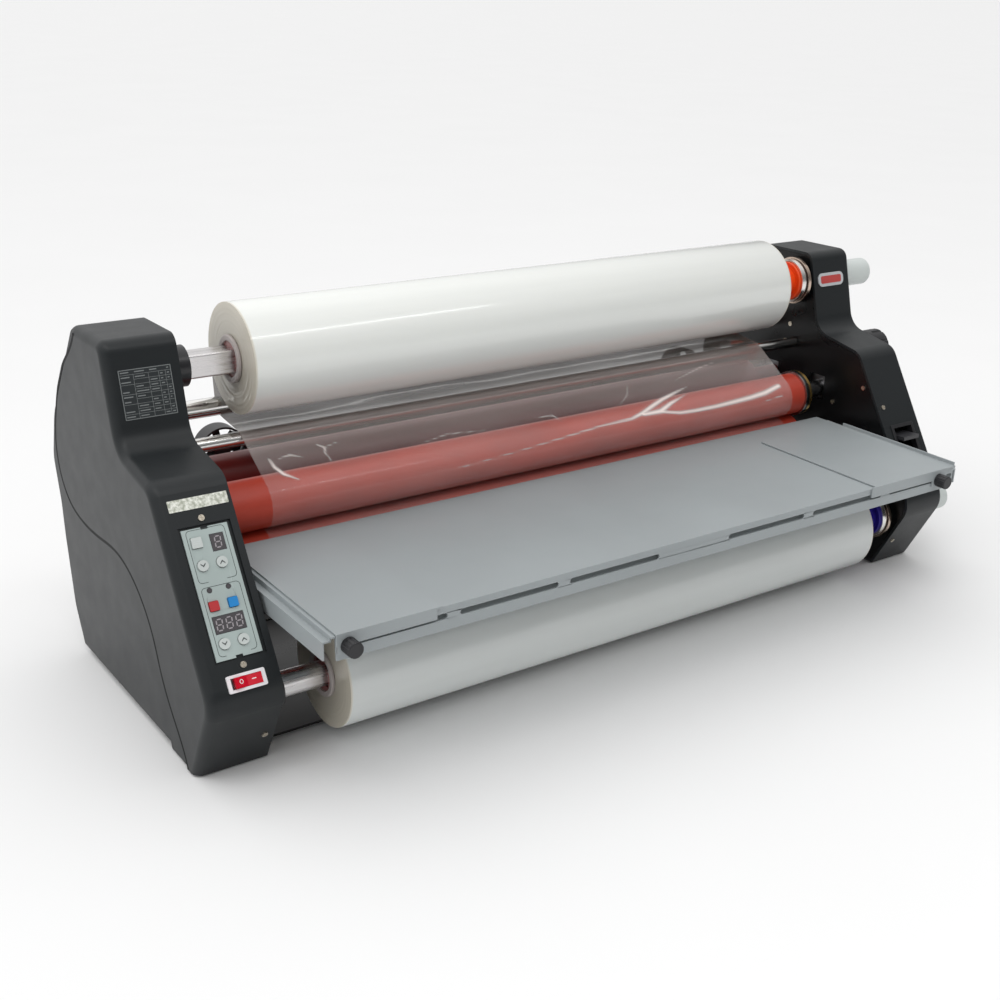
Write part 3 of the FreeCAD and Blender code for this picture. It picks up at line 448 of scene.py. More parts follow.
for node, width in (("feed_table", 0.45), ("left_guide", 0.35), ("right_guide", 0.35),
                    ("run_button", 0.7), ("heater_button", 0.7), ("ready_button", 0.7),
                    ("control_fascia", 0.2), ("rocker_bezel", 0.5), ("lever_escutcheon", 0.3),
                    ("nip_blocks", 0.4), ("round_badge", 0.3), ("gear_motor", 0.8)):
    soften(node, width * MM)


# ------------------------------------------------------------------ mesh helpers
def mesh_object(name, vertices, faces, finish, body):
    """A piece from plain vertices and faces that rides on a body."""
    mesh = bpy.data.meshes.new(name)
    mesh.from_pydata([tuple(v) for v in vertices], [], faces)
    mesh.validate()
    piece = bpy.data.objects.new(name, mesh)
    bpy.context.scene.collection.objects.link(piece)
    mesh.materials.append(MATERIALS[finish])
    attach(piece, body)
    return piece


class Slope:
    """A sloping face drawn in (x, distance up the slope, distance outward)."""

    def __init__(self, point, up):
        self.point = Vector(point)
        self.up = Vector(up).normalized()
        self.out = Vector((1, 0, 0)).cross(self.up).normalized()

    def at(self, x, s, out=0.0):
        return Vector((x, self.point.y, self.point.z)) + self.up * s + self.out * out

    def s_of(self, position):
        return (Vector(position) - self.point).dot(self.up)


def close_outline(faces, base, n):
    """Two end faces and the side walls between n upper points and the n points that follow."""
    faces.append(list(range(base, base + n)))
    faces.append(list(range(base + 2 * n - 1, base + n - 1, -1)))
    for k in range(n):
        following = (k + 1) % n
        faces.append([base + k, base + n + k, base + n + following, base + following])


def slabs(name, outlines, low, high, slope, finish, body):
    """Flat printed or moulded shapes: closed outlines (x, s) between two heights."""
    vertices = []
    faces = []
    for outline in outlines:
        base = len(vertices)
        n = len(outline)
        vertices += [slope.at(x, s, high) for x, s in outline]
        vertices += [slope.at(x, s, low) for x, s in outline]
        close_outline(faces, base, n)
    mesh_object(name, vertices, faces, finish, body)


def ribbon(points, width, closed=False):
    """Outlines of the straight strips that make a printed line through points."""
    strips = []
    pairs = list(zip(points, points[1:] + points[:1])) if closed else list(zip(points, points[1:]))
    for (xa, sa), (xb, sb) in pairs:
        length = math.hypot(xb - xa, sb - sa)
        if length < 1e-9:
            continue
        ux, us = (xb - xa) / length, (sb - sa) / length
        lap = width * 0.3
        nx, ns = -us * width / 2, ux * width / 2
        xa, sa, xb, sb = xa - ux * lap, sa - us * lap, xb + ux * lap, sb + us * lap
        strips.append([(xa + nx, sa + ns), (xa - nx, sa - ns), (xb - nx, sb - ns),
                       (xb + nx, sb + ns)])
    return strips


def rounded_outline(x0, x1, s0, s1, r, steps=5):
    points = []
    for cx, cs, start in ((x1 - r, s1 - r, 0), (x0 + r, s1 - r, 90), (x0 + r, s0 + r, 180),
                          (x1 - r, s0 + r, 270)):
        for k in range(steps + 1):
            angle = math.radians(start + 90 * k / steps)
            points.append((cx + r * math.cos(angle), cs + r * math.sin(angle)))
    return points


def rectangle(x0, x1, s0, s1):
    return [(x0, s0), (x1, s0), (x1, s1), (x0, s1)]


# ------------------------------------------------------------------ slopes of the left cover
inward = Vector(JOINTS["run_press"]["axis"])
panel_up = Vector((0, -inward.z, inward.y))
fascia_low, fascia_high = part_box("control_fascia")
button_proud = 1.2 * MM          # buttons stand this far out of the cover's face
fascia_sunk = 0.6 * MM           # the overlay lies this far below the cover's face


def face_point(node, out):
    """Centre of a node's outer face on the control panel, brought to the panel's own plane."""
    low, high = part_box(node)
    outward = -inward
    reach = max((v.co.dot(outward) for v in NODES[node].data.vertices))
    centre = (low + high) / 2
    centre += outward * (reach - centre.dot(outward)) - outward * out
    return centre


PANEL = Slope(face_point("run_button", button_proud), panel_up)
BROW_UP = Vector((0, 22.3, 84.5))      # rise of the upper front face of the covers
brow_points = sorted((v.co.copy() for v in NODES["cover_labels"].data.vertices),
                     key=lambda co: co.z)
brow_top = brow_points[-1]
brow_normal = Vector((1, 0, 0)).cross(BROW_UP.normalized())
BROW = Slope(brow_top, BROW_UP)


def panel_centre(node):
    low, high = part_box(node)
    centre = (low + high) / 2
    return centre.x, PANEL.s_of(centre)


# printed outlines on the overlay, with gaps in their lower edges
def boxed_line(x0, x1, s0, s1, gap_from, gap_to, corner):
    """A rounded rectangle whose lower edge is open between two X values."""
    outline = rounded_outline(x0, x1, s0, s1, corner)
    lower_right = [p for p in outline if p[1] < s0 + corner + 1e-9 and p[0] > (x0 + x1) / 2]
    rest = [p for p in outline if p not in lower_right]
    return [(gap_to, s0)] + lower_right + rest + [(gap_from, s0)]


run_s = panel_centre("run_button")[1]
speed_s = panel_centre("speed_up_button")[1]
heat_key_s = panel_centre("heater_button")[1]
warm_s = panel_centre("temperature_up_button")[1]
box_inset = 3.4 * MM
box_corner = 3.2 * MM
box_x0 = fascia_low.x + box_inset
box_x1 = fascia_high.x - box_inset
line_w = 0.45 * MM
lines = ribbon(boxed_line(box_x0, box_x1, speed_s - 13.5 * MM, run_s + 10.5 * MM,
                          fascia_low.x + 11 * MM, fascia_high.x - 12 * MM, box_corner), line_w)
lines += ribbon(boxed_line(box_x0, box_x1, warm_s - 9.5 * MM, speed_s - 17.5 * MM,
                           fascia_low.x + 9 * MM, fascia_high.x - 9 * MM, box_corner), line_w)
slabs("overlay_lines", lines, -fascia_sunk, -fascia_sunk + 0.06 * MM, PANEL, "dark_mark",
      "machine")


# seven-segment figures behind the display windows
def segment_digit(cx, cs, width, height, stroke, lean=0.08):
    """Outlines of the seven bars of one display figure."""
    half_w, half_h = width / 2, height / 2
    gap = stroke * 0.22
    bars = []
    for level in (-half_h, 0.0, half_h):
        x0, x1 = -half_w + stroke / 2 + gap, half_w - stroke / 2 - gap
        bars.append([(x0, level), (x0 + stroke / 2, level + stroke / 2),
                     (x1 - stroke / 2, level + stroke / 2), (x1, level),
                     (x1 - stroke / 2, level - stroke / 2), (x0 + stroke / 2, level - stroke / 2)])
    for side in (-half_w + stroke * 0.1, half_w - stroke * 0.1):
        for low, high in ((-half_h, 0.0), (0.0, half_h)):
            s0, s1 = low + gap + stroke * 0.25, high - gap - stroke * 0.25
            bars.append([(side, s0), (side + stroke / 2, s0 + stroke / 2),
                         (side + stroke / 2, s1 - stroke / 2), (side, s1),
                         (side - stroke / 2, s1 - stroke / 2), (side - stroke / 2, s0 + stroke / 2)])
    return [[(cx + x + lean * s, cs + s) for x, s in bar] for bar in bars]


digit_w, digit_h, digit_stroke = 5.0 * MM, 9.0 * MM, 0.95 * MM
windows = NODES["display_windows"].data.vertices
window_top = -fascia_sunk + 0.25 * MM
display_box = {}
for name, low_s, high_s in (("speed", speed_s, run_s + 20 * MM), ("heat", warm_s, heat_key_s)):
    inside = [v.co for v in windows if low_s < PANEL.s_of(v.co) < high_s]
    if name == "speed":
        inside = [co for co in inside if co.x > (fascia_low.x + fascia_high.x) / 2]
    xs = [co.x for co in inside]
    ss = [PANEL.s_of(co) for co in inside]
    display_box[name] = (min(xs), max(xs), min(ss), max(ss))
digits = []
for name, count in (("speed", 1), ("heat", 3)):
    x0, x1, s0, s1 = display_box[name]
    pitch = (x1 - x0) / (count + (0.15 if count > 1 else 0.0))
    for k in range(count):
        cx = (x0 + x1) / 2 + (k - (count - 1) / 2) * pitch
        digits += segment_digit(cx, (s0 + s1) / 2, digit_w, digit_h, digit_stroke)
slabs("display_segments", digits, window_top, window_top + 0.05 * MM, PANEL, "segment", "machine")


# arrows on the round buttons and two bars on the run button
ARROW_HALF = 2.1 * MM
ARROW_STROKE = 1.0 * MM


def chevron(cx, cs, direction):
    """Outline of an arrow head that points up (1) or down (-1)."""
    tip = direction * ARROW_HALF * 0.45
    back = direction * ARROW_STROKE
    outer = [(-ARROW_HALF, -tip), (0, tip + back * 0.4), (ARROW_HALF, -tip)]
    inner = [(ARROW_HALF, -tip - back), (0, tip - back), (-ARROW_HALF, -tip - back)]
    points = [(cx + x, cs + s) for x, s in outer + inner]
    if direction > 0:
        points.reverse()
    return points


for node, body, direction in (("speed_down_button", "speed_down", -1),
                              ("speed_up_button", "speed_up", 1),
                              ("temperature_down_button", "temperature_down", -1),
                              ("temperature_up_button", "temperature_up", 1)):
    cx, cs = panel_centre(node)
    slabs(body + "_arrow", [chevron(cx, cs, direction)], button_proud,
          button_proud + 0.08 * MM, PANEL, "dark_mark", body)
cx, cs = panel_centre("run_button")
bar_half_w, bar_half_h = 2.6 * MM, 0.2 * MM
run_bars = [rectangle(cx - bar_half_w, cx + bar_half_w, cs + k * MM - bar_half_h,
                      cs + k * MM + bar_half_h) for k in (-0.8, 0.8)]
slabs("run_mark", run_bars, button_proud, button_proud + 0.06 * MM, PANEL, "pale_mark", "run")


# circle and bar on the tilted faces of the rocker
def tilted_face(name, outlines, x_a, h_a, x_b, h_b, s, finish, body):
    """Thin marks laid on the line between (x_a, h_a) and (x_b, h_b) over the panel."""
    vertices = []
    faces = []
    length = math.hypot(x_b - x_a, h_b - h_a)
    ux, uh = (x_b - x_a) / length, (h_b - h_a) / length
    for outline in outlines:
        base = len(vertices)
        n = len(outline)
        for lift in (0.12 * MM, -0.1 * MM):
            for a, b in outline:
                vertices.append(PANEL.at(x_a + ux * a - uh * lift, s + b, h_a + uh * a + ux * lift))
        close_outline(faces, base, n)
    mesh_object(name, vertices, faces, finish, body)


rocker_half = 12.1 * MM
rocker_crown, rocker_dip, rocker_pivot = 3.4 * MM, 1.2 * MM, -3.0 * MM
rocker_tilt = math.radians(9.0)
rocker_x, rocker_s = panel_centre("rocker_bezel")


def rocked(x, h):
    """A point of the rocker's outline after its resting tilt."""
    dh = h - rocker_pivot
    return (rocker_x + x * math.cos(rocker_tilt) + dh * math.sin(rocker_tilt),
            rocker_pivot - x * math.sin(rocker_tilt) + dh * math.cos(rocker_tilt))


left_edge, middle, right_edge = (rocked(-rocker_half, rocker_crown), rocked(0, rocker_dip),
                                 rocked(rocker_half, rocker_crown))
ring = []
ring_steps = 20
outer, inner = 1.9 * MM, 1.25 * MM
centre_a = 6.2 * MM
for k in range(ring_steps):
    a0 = 2 * math.pi * k / ring_steps
    a1 = 2 * math.pi * (k + 1) / ring_steps
    ring.append([(centre_a + inner * math.cos(a0), inner * math.sin(a0)),
                 (centre_a + outer * math.cos(a0), outer * math.sin(a0)),
                 (centre_a + outer * math.cos(a1), outer * math.sin(a1)),
                 (centre_a + inner * math.cos(a1), inner * math.sin(a1))])
tilted_face("rocker_ring", ring, *left_edge, *middle, rocker_s, "mark_white", "rocker")
tilted_face("rocker_bar", [rectangle(3.8 * MM, 7.4 * MM, -0.4 * MM, 0.4 * MM)],
            *middle, *right_edge, rocker_s, "mark_white", "rocker")

# ------------------------------------------------------------------ labels
table_w = 45 * MM
table_h = 41.4 * MM
label_edge = 0.6 * MM
frame_line = 0.55 * MM
thin_line = 0.28 * MM
cell_inset = 1.2 * MM
text_half = 0.42 * MM
rows = 10
columns = (0.0, 0.27, 0.56, 0.76, 0.89, 1.0)
label_x0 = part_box("cover_labels")[0].x
print_x0 = label_x0 + label_edge
row_h = (table_h - 1.2 * MM) / rows
inner_w = table_w - 1.2 * MM
marks = ribbon(rectangle(print_x0, label_x0 + table_w - label_edge, -table_h + label_edge,
                         -label_edge), frame_line, True)
for row in range(1, rows):
    s = -label_edge - row * row_h
    start = 0 if row % 2 else 1
    first = print_x0 + (columns[start] if row > 1 else 0) * inner_w
    marks += ribbon([(first, s), (print_x0 + inner_w, s)], thin_line)
for column in columns[1:-1]:
    x = print_x0 + column * inner_w
    marks += ribbon([(x, -label_edge - row_h), (x, -table_h + label_edge)], thin_line)
for row in range(rows):
    for k in range(len(columns) - 1):
        if (row + k) % 4 == 3:
            continue
        x0 = print_x0 + columns[k] * inner_w
        x1 = print_x0 + columns[k + 1] * inner_w
        s = -label_edge - (row + 0.5) * row_h
        span = (x1 - x0 - 2 * cell_inset) * random.uniform(0.55, 1.0)
        if span > 0.8 * MM:
            marks.append(rectangle(x0 + cell_inset, x0 + cell_inset + span, s - text_half,
                                   s + text_half))
slabs("settings_label_print", marks, 0.0, 0.05 * MM, BROW, "label_mark", "machine")

strip_material = moulded("strip_silver", (0.66, 0.68, 0.60), 0.32, 0.0, 900.0, Metallic=0.25)
vary_colour(strip_material, noise_field(strip_material, 420.0, 4.0), (0.40, 0.42, 0.34),
            (0.86, 0.87, 0.80), 0.35, 0.65)
MATERIALS["strip"] = strip_material
strip_top = 0.25                 # the strip lies below this height and the settings label above
strip_points = [v.co for v in NODES["cover_labels"].data.vertices if v.co.z < strip_top]
strip_s = [PANEL.s_of(co) for co in strip_points]
strip_x = [co.x for co in strip_points]
slabs("blank_strip", [rounded_outline(min(strip_x), max(strip_x), min(strip_s), max(strip_s),
                                      0.6 * MM)], 0.2 * MM, 0.4 * MM, PANEL, "strip", "machine")

badge_low, badge_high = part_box("round_badge")
badge_top = max((v.co.dot(brow_normal) for v in NODES["round_badge"].data.vertices))
BADGE = Slope((0, (badge_low.y + badge_high.y) / 2, (badge_low.z + badge_high.z) / 2), BROW_UP)
badge_out = badge_top - BADGE.point.dot(brow_normal)
badge_x = (badge_low.x + badge_high.x) / 2
block_half_w, block_half_h = 16.5 * MM, 4.3 * MM
slabs("badge_block", [rounded_outline(badge_x - block_half_w, badge_x + block_half_w,
                                      -block_half_h, block_half_h, 2.0 * MM)],
      badge_out - 0.1 * MM, badge_out + 0.12 * MM, BADGE, "badge_red", "machine")


# ------------------------------------------------------------------ crease of the outer faces: a raised bead in a painted-shadow finish
CREASE_DEPTH = 2.0 * MM          # the field behind the crease lies this far in
CREASE_STEP = 4 * MM
CREASE_PROFILE = ((-3.2, 0.0), (-2.2, 0.10), (-1.0, 0.26), (-0.5, 0.30), (-0.1, 0.14), (0.1, -0.3),
                  (-3.2, -0.3))        # millimetres across the crease and proud of the face


def crease_line(node, face_x, outward):
    """Points, in order, along the step between a cover's outer face and its pressed-in field."""
    data = NODES[node].data
    field_x = face_x - outward * CREASE_DEPTH
    sides = {}
    for polygon in data.polygons:
        corners = [data.vertices[index].co for index in polygon.vertices]
        rise = max(outward * (corner.x - field_x) for corner in corners)
        for a, b in zip(corners, corners[1:] + corners[:1]):
            if abs(a.x - field_x) < 0.02 * MM and abs(b.x - field_x) < 0.02 * MM:
                key = tuple(sorted((tuple(round(value, 6) for value in a),
                                    tuple(round(value, 6) for value in b))))
                sides.setdefault(key, []).append(rise)
    neighbours = {}
    for (a, b), rises in sides.items():
        if len(rises) == 2 and max(rises) > 0.05 * MM and min(rises) < 0.02 * MM:
            neighbours.setdefault(a, []).append(b)
            neighbours.setdefault(b, []).append(a)
    ends = sorted(point for point, others in neighbours.items() if len(others) == 1)
    longest = []
    for start in ends:
        path = [start]
        seen = {start}
        while True:
            following = [point for point in neighbours[path[-1]] if point not in seen]
            if not following:
                break
            path.append(following[0])
            seen.add(following[0])
        if len(path) > len(longest):
            longest = path
    return [Vector((face_x, point[1], point[2])) for point in longest]


def even_steps(points, step):
    """The same line with points at even distances."""
    result = [points[0]]
    left = step
    for a, b in zip(points, points[1:]):
        length = (b - a).length
        place = left
        while place <= length:
            result.append(a.lerp(b, place / length))
            place += step
        left = place - length
    return result


for node, face_x, outward in (("left_cover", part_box("left_cover")[0].x, -1),
                              ("right_cover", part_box("right_cover")[1].x, 1)):
    line = even_steps(crease_line(node, face_x, outward), CREASE_STEP)
    if line[0].z < line[-1].z:
        line.reverse()
    vertices = []
    faces = []
    n = len(CREASE_PROFILE)
    for k, point in enumerate(line):
        along = (line[min(k + 1, len(line) - 1)] - line[max(k - 1, 0)]).normalized()
        across = Vector((0, along.z, -along.y))
        for side, proud in CREASE_PROFILE:
            vertices.append(point - across * side * MM + Vector((outward * proud * MM, 0, 0)))
    for k in range(len(line) - 1):
        for i in range(n):
            j = (i + 1) % n
            faces.append([k * n + i, k * n + j, (k + 1) * n + j, (k + 1) * n + i])
    faces.append(list(range(n)))
    faces.append(list(range(len(vertices) - 1, len(vertices) - n - 1, -1)))
    # the bead takes the near-black crease finish, a painted shadow line along the step
    mesh_object(node + "_crease", vertices, faces, "crease", "machine")


# ------------------------------------------------------------------ turned and wound pieces
def lathe(name, profile, y, z, finish, body, steps):
    """A ring of revolution round an X axis from a closed line of (x, radius) points."""
    vertices = []
    faces = []
    n = len(profile)
    for k in range(steps):
        angle = 2 * math.pi * k / steps
        for x, r in profile:
            vertices.append((x, y + r * math.cos(angle), z + r * math.sin(angle)))
    for k in range(steps):
        following = (k + 1) % steps
        for i in range(n):
            j = (i + 1) % n
            faces.append([k * n + i, k * n + j, following * n + j, following * n + i])
    piece = mesh_object(name, vertices, faces, finish, body)
    mesh = piece.data
    for polygon in mesh.polygons:
        polygon.use_smooth = True
    mesh.set_sharp_from_angle(angle=math.radians(28))
    return piece


def wound_roll(which):
    """Film roll whose ends show single windings that stand slightly proud of each other."""
    y, z, r = axis_of(which + "_film_roll")
    core = 20.2 * MM
    windings = 26
    profile = []
    for side, edge in ((-1, film_low.x), (1, film_high.x)):
        points = []
        for k in range(windings + 1):
            radius = core + (r - 0.5 * MM - core) * k / windings
            depth = random.uniform(0.0, 0.22) * MM
            points.append((edge - side * depth, radius))
        points.append((edge - side * 0.15 * MM, r - 0.15 * MM))
        points.append((edge - side * 0.6 * MM, r))
        profile += points if side < 0 else points[::-1]
    piece = lathe(which + "_wound_film", profile, y, z, which + "_film", which + "_roll", 160)
    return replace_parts(piece, which + "_film_roll")


for which in ("upper", "lower"):
    wound_roll(which)
    y, z, _ = axis_of(which + "_film_roll")
    edge = film_low.x - 1.0 * MM
    lathe(which + "_core_collar", [(edge - 1.6 * MM, 16.2 * MM), (edge - 2.0 * MM, 17.0 * MM),
                                   (edge - 2.0 * MM, 20.4 * MM), (edge - 1.4 * MM, 21.2 * MM),
                                   (edge + 0.6 * MM, 21.2 * MM), (edge + 0.6 * MM, 16.2 * MM)],
          y, z, "core_ring", which + "_roll", 72)


# ------------------------------------------------------------------ film web
def tangent(a, b):
    """Tangent points between two circles (y, z, signed radius)."""
    dy, dz = b[0] - a[0], b[1] - a[1]
    angle = math.atan2(dz, dy) + math.acos((b[2] - a[2]) / math.hypot(dy, dz))
    n = (math.cos(angle), math.sin(angle))
    return (a[0] - n[0] * a[2], a[1] - n[1] * a[2]), (b[0] - n[0] * b[2], b[1] - n[1] * b[2])


def straight(start, end, step):
    count = max(2, round(math.dist(start, end) / step))
    return [(start[0] + (end[0] - start[0]) * k / count, start[1] + (end[1] - start[1]) * k / count)
            for k in range(count)]


def wrap(circle, start, end, step):
    r = abs(circle[2])
    a0 = math.atan2(start[1] - circle[1], start[0] - circle[0])
    a1 = math.atan2(end[1] - circle[1], end[0] - circle[0])
    turn = (a1 - a0) % (2 * math.pi)
    if circle[2] < 0:
        turn -= 2 * math.pi
    count = max(2, round(abs(turn) * r / step))
    return [(circle[0] + r * math.cos(a0 + turn * k / count),
             circle[1] + r * math.sin(a0 + turn * k / count)) for k in range(count)]


def web_path(circles, finish, step, tail_y=None):
    """Points (y, z, slack) along a film path; slack is 0 on rollers and 1 in mid span."""
    spans = [tangent(a, b) for a, b in zip(circles[:-1], circles[1:])]
    points = []
    for k, (circle, (start, end)) in enumerate(zip(circles[1:], spans)):
        stop = spans[k + 1][0] if k + 1 < len(spans) else finish
        run = straight(start, end, step)
        points += [(y, z, math.sin(math.pi * i / len(run))) for i, (y, z) in enumerate(run)]
        points += [(y, z, 0.0) for y, z in wrap(circle, end, stop, step)]
    if tail_y is not None:
        points += [(y, z, 0.0) for y, z in straight(finish, (tail_y, finish[1]), step)]
        finish = (tail_y, finish[1])
    points.append((finish[0], finish[1], 0.0))
    return points


def crease_share(x, distance, creases):
    """How much of a crease passes here, 0 to 1: creases are lines of (x, distance, width)."""
    share = 0.0
    for line in creases:
        for (xa, da, wa), (xb, db, wb) in zip(line, line[1:]):
            if not min(xa, xb) - 0.008 < x < max(xa, xb) + 0.008:
                continue
            length = (xb - xa) ** 2 + (db - da) ** 2
            along = min(1.0, max(0.0, ((x - xa) * (xb - xa) + (distance - da) * (db - da)) / length))
            off = math.hypot(x - xa - along * (xb - xa), distance - da - along * (db - da))
            width = wa + (wb - wa) * along
            share = max(share, min(1.0, width / CREASE_FULL) * math.exp(-(off / width) ** 2))
    return share


def film_piece(name, path, finish, columns, creases=(), ripple=0.0, seed=0.0, painted_shade_until=0.0):
    """A thin closed film over a path, with soft ripples in its free spans and sharp creases; its
    crease and span attributes carry the painted highlight and painted shade of the film's material.
    """
    distances = [0.0]
    for (ya, za, _), (yb, zb, _) in zip(path, path[1:]):
        distances.append(distances[-1] + math.hypot(yb - ya, zb - za))
    vertices = []
    crease_highlight_values = []
    span_shade_values = []
    count = len(path)
    for i, (y, z, slack) in enumerate(path):
        before = path[max(0, i - 1)]
        after = path[min(count - 1, i + 1)]
        dy, dz = after[0] - before[0], after[1] - before[1]
        size = math.hypot(dy, dz)
        ny, nz = -dz / size, dy / size
        for k in range(columns + 1):
            x = film_centre_x - web_width / 2 + web_width * k / columns
            edge = min(1.0, 6.0 * k / columns, 6.0 * (1 - k / columns))
            wave = noise.noise(Vector((x * 7.0 + seed, distances[i] * 22.0, seed)))
            wave += 0.5 * noise.noise(Vector((x * 18.0 + seed, distances[i] * 48.0, seed + 4.0)))
            crease = crease_share(x, distances[i], creases)
            lift = ripple * slack * wave * (0.4 + 0.6 * edge) + crease * CREASE_RISE
            vertices.append((x, y + ny * lift, z + nz * lift))
            crease_highlight_values.append(crease)
            # painted shade share: full near the roll, fading out along the web
            span_shade_values.append(min(1.0, max(0.0, (painted_shade_until - distances[i]) / SPAN_SHADE_FADE)))
    faces = []
    row = columns + 1
    for i in range(count - 1):
        for k in range(columns):
            a = i * row + k
            faces.append([a, a + 1, a + row + 1, a + row])
    mesh = bpy.data.meshes.new(name)
    mesh.from_pydata(vertices, [], faces)
    for kind, values in (("crease", crease_highlight_values), ("span", span_shade_values)):
        attribute = mesh.attributes.new(kind, "FLOAT", "POINT")
        attribute.data.foreach_set("value", values)
    for polygon in mesh.polygons:
        polygon.use_smooth = True
    mesh.materials.append(MATERIALS[finish])
    piece = bpy.data.objects.new(name, mesh)
    bpy.context.scene.collection.objects.link(piece)
    return piece, distances[-1]


web_width = 638 * MM
film_gap = 0.4 * MM
CREASE_FULL = 1.6 * MM           # a crease of the film this wide gets its full rise and full painted highlight
CREASE_RISE = 0.3 * MM
SPAN_SHADE_FADE = 60 * MM              # the free span's painted shade fades over this length
roll_y, roll_z, roll_r = axis_of("upper_film_roll")
rear_y, rear_z, rear_r = axis_of("rear_idler")
front_y, front_z, front_r = axis_of("front_idler")
heat_y, heat_z, heat_r = axis_of("upper_heat_sleeve")
UPPER_ROLL = (roll_y, roll_z, -(roll_r + film_gap))
REAR = (rear_y, rear_z, -(rear_r + film_gap))
FRONT = (front_y, front_z, front_r + film_gap)
HEAT = (heat_y, heat_z, heat_r + film_gap)
nip_point = (heat_y, heat_z - heat_r - film_gap)
upper_path = web_path([UPPER_ROLL, REAR, FRONT, HEAT], nip_point, 1.5 * MM)
# each crease lifts the film and carries its painted highlight
creases = [[tuple(value * MM for value in point) for point in line] for line in (
    # (x, distance along the web, width) down each crease
    ((-330, 137, 1.0), (-329, 146, 1.5), (-324, 155, 1.6), (-313, 164, 0.7)),
    ((-322, 138, 0.5), (-310, 136, 1.1), (-299, 141, 0.5)),
    ((-281, 130, 0.7), (-275, 135, 1.2), (-277, 141, 0.9), (-275, 152, 0.5)),
    ((-275, 135, 0.7), (-258, 131, 0.4)),
    ((-180, 151, 0.4), (-150, 146, 0.7), (-110, 150, 0.4)),
    ((-50, 146, 0.4), (-25, 148, 0.9), (-20, 156, 0.5)),
    ((-160, 184, 0.4), (-79, 179, 0.6), (23, 171, 0.9), (63, 170, 1.3), (80, 166, 1.8),
     (97, 160, 2.2), (115, 154, 1.9), (135, 149, 1.3), (156, 144, 0.5)),
    ((80, 168, 1.6), (104, 168, 2.6), (122, 161, 1.8), (140, 156, 0.9), (150, 153, 0.4)),
    ((104, 169, 1.4), (128, 174, 1.5), (150, 175, 1.6), (180, 175, 1.8), (208, 174, 2.1),
     (232, 173, 2.3), (255, 171, 2.6), (279, 166, 2.2)),
    ((246, 181, 0.5), (279, 178, 0.8)),
    ((60, 150, 0.4), (76, 140, 0.7), (84, 128, 0.4)),
    ((150, 132, 0.4), (190, 122, 0.7), (215, 118, 0.4)),
)]
# the web is painted in shade from the roll down to 150 mm along it
web, web_length = film_piece("upper_film_web", upper_path, "web", 420, creases, 1.1 * MM, 2.0,
                             150 * MM)
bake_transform(web)
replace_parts(web, "upper_web_nip")

tail_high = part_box("lower_web")[1]
tail_path = [(y, z, 0.0) for y, z in straight((heat_y + 0.5 * MM, nip_point[1]),
                                              (tail_high.y, nip_point[1]), 4 * MM)]
tail_path.append((tail_high.y, nip_point[1], 0.0))
tail, tail_length = film_piece("upper_film_tail", tail_path, "plain_web", 60)
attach(tail, "machine")
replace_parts(tail, "upper_web")

low_y, low_z, low_r = axis_of("lower_film_roll")
idle_y, idle_z, idle_r = axis_of("lower_idler")
base_y, base_z, base_r = axis_of("lower_heat_sleeve")
LOWER_ROLL = (low_y, low_z, low_r + film_gap)
LOWER_IDLER = (idle_y, idle_z, -(idle_r + film_gap))
LOWER_HEAT = (base_y, base_z, -(base_r + film_gap))
lower_nip = (base_y, base_z + base_r + film_gap)
lower_path = web_path([LOWER_ROLL, LOWER_IDLER, LOWER_HEAT], lower_nip, 3.0 * MM, tail_high.y)
under, under_length = film_piece("lower_film_web", lower_path, "plain_web", 120,
                                 ripple=0.4 * MM, seed=7.0)
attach(under, "machine")
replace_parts(under, "lower_web")


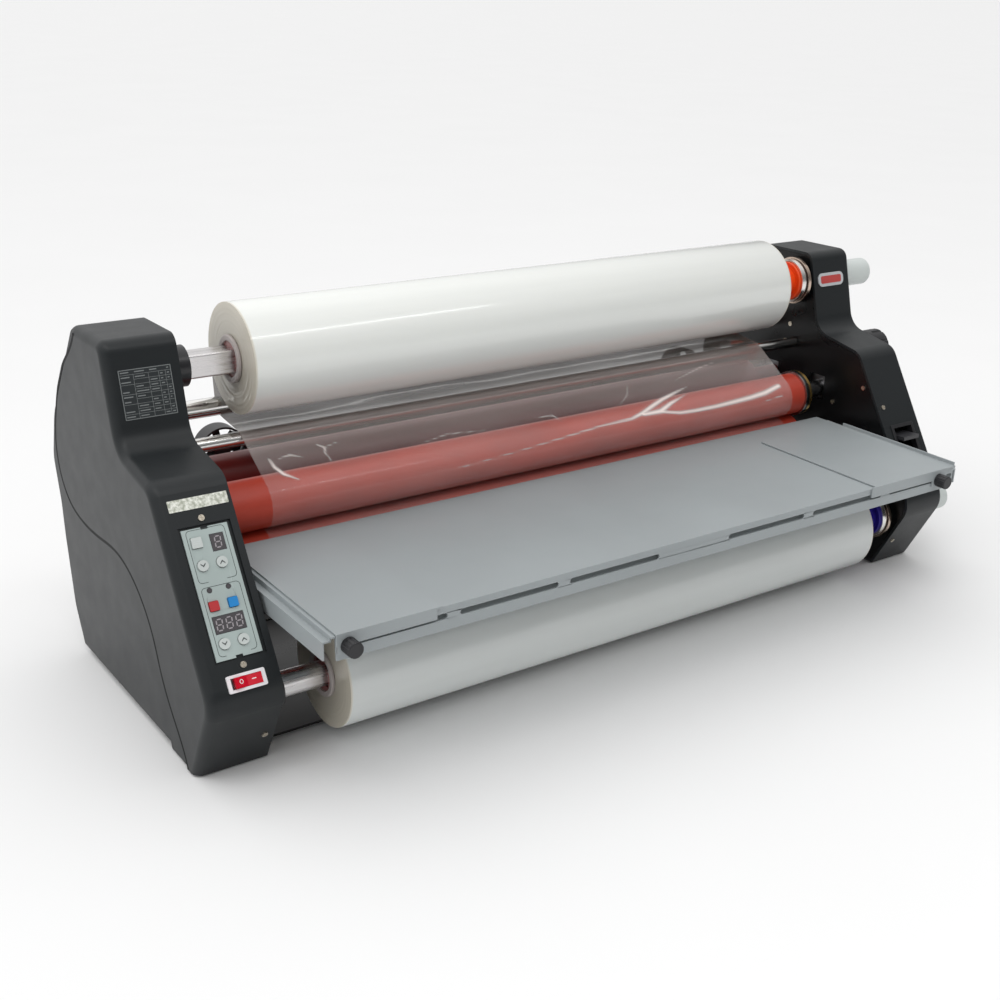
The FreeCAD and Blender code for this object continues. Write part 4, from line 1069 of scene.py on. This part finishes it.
# ------------------------------------------------------------------ floor, light and camera
def studio():
    """Pale paper floor, the surrounding light and two soft lamps."""
    floor_mesh = bpy.data.meshes.new("floor")
    reach = 300.0
    floor_mesh.from_pydata([(-reach, -reach, 0), (reach, -reach, 0), (reach, reach, 0),
                            (-reach, reach, 0)], [], [[0, 1, 2, 3]])
    floor = bpy.data.objects.new("floor", floor_mesh)
    bpy.context.scene.collection.objects.link(floor)
    paper = new_material("floor_paper", (0.86, 0.86, 0.86), 0.8)
    vary_colour(paper, noise_field(paper, 3.0), (0.855, 0.855, 0.855), (0.865, 0.865, 0.865))
    floor_mesh.materials.append(paper)
    sky()
    for name, place, aim, size_x, size_y, power in (
            ("key", (-0.9, -0.9, 2.6), (0, 0, 0.15), 2.0, 0.5, 9.0),
            ("strip", (0.3, -1.5, 2.2), (0, 0, 0.2), 1.8, 0.12, 5.0)):
        lamp = bpy.data.lights.new(name, "AREA")
        lamp.shape = "RECTANGLE"
        lamp.size = size_x
        lamp.size_y = size_y
        lamp.energy = power
        holder = bpy.data.objects.new(name, lamp)
        holder.location = place
        holder.rotation_euler = (Vector(aim) - Vector(place)).to_track_quat("-Z", "Y").to_euler()
        bpy.context.scene.collection.objects.link(holder)


def sky():
    """Soft light that is strongest from above, behind and the left, as under a large ceiling."""
    world = bpy.data.worlds.new("studio")
    bpy.context.scene.world = world
    world.use_nodes = True
    background = world.node_tree.nodes["Background"]
    direction = add_node(world, "ShaderNodeTexCoord")
    lean = add_node(world, "ShaderNodeVectorMath", operation="DOT_PRODUCT")
    lean.inputs[1].default_value = Vector((-0.30, 0.30, 0.90)).normalized()
    link(world, direction.outputs["Generated"], lean.inputs[0])
    strength = mapped(world, lean.outputs["Value"], 0.20, 1.35, -0.1, 0.85)
    link(world, strength, background.inputs["Strength"])
    background.inputs["Color"].default_value = (1.0, 1.0, 1.0, 1.0)


def camera():
    """Camera turned to the right of +Y, tipped down and rolled slightly."""
    turn = math.radians(36.73)
    tip = math.radians(22.02)
    roll = math.radians(1.96)
    forward = Vector((math.sin(turn) * math.cos(tip), math.cos(turn) * math.cos(tip),
                      -math.sin(tip)))
    level = Vector((math.cos(turn), -math.sin(turn), 0))
    upright = level.cross(forward)
    right = level * math.cos(roll) + upright * math.sin(roll)
    above = right.cross(forward)
    data = bpy.data.cameras.new("camera")
    data.sensor_width = 36.0
    data.lens = 48.76
    data.shift_x = -0.0361
    data.shift_y = 0.0199
    view = bpy.data.objects.new("camera", data)
    rotation = Matrix((right, above, -forward)).transposed()
    view.matrix_world = Matrix.Translation((-0.8112, -1.0114, 0.6200)) @ rotation.to_4x4()
    bpy.context.scene.collection.objects.link(view)
    bpy.context.scene.camera = view


studio()
camera()
bpy.context.scene.view_settings.view_transform = "Standard"
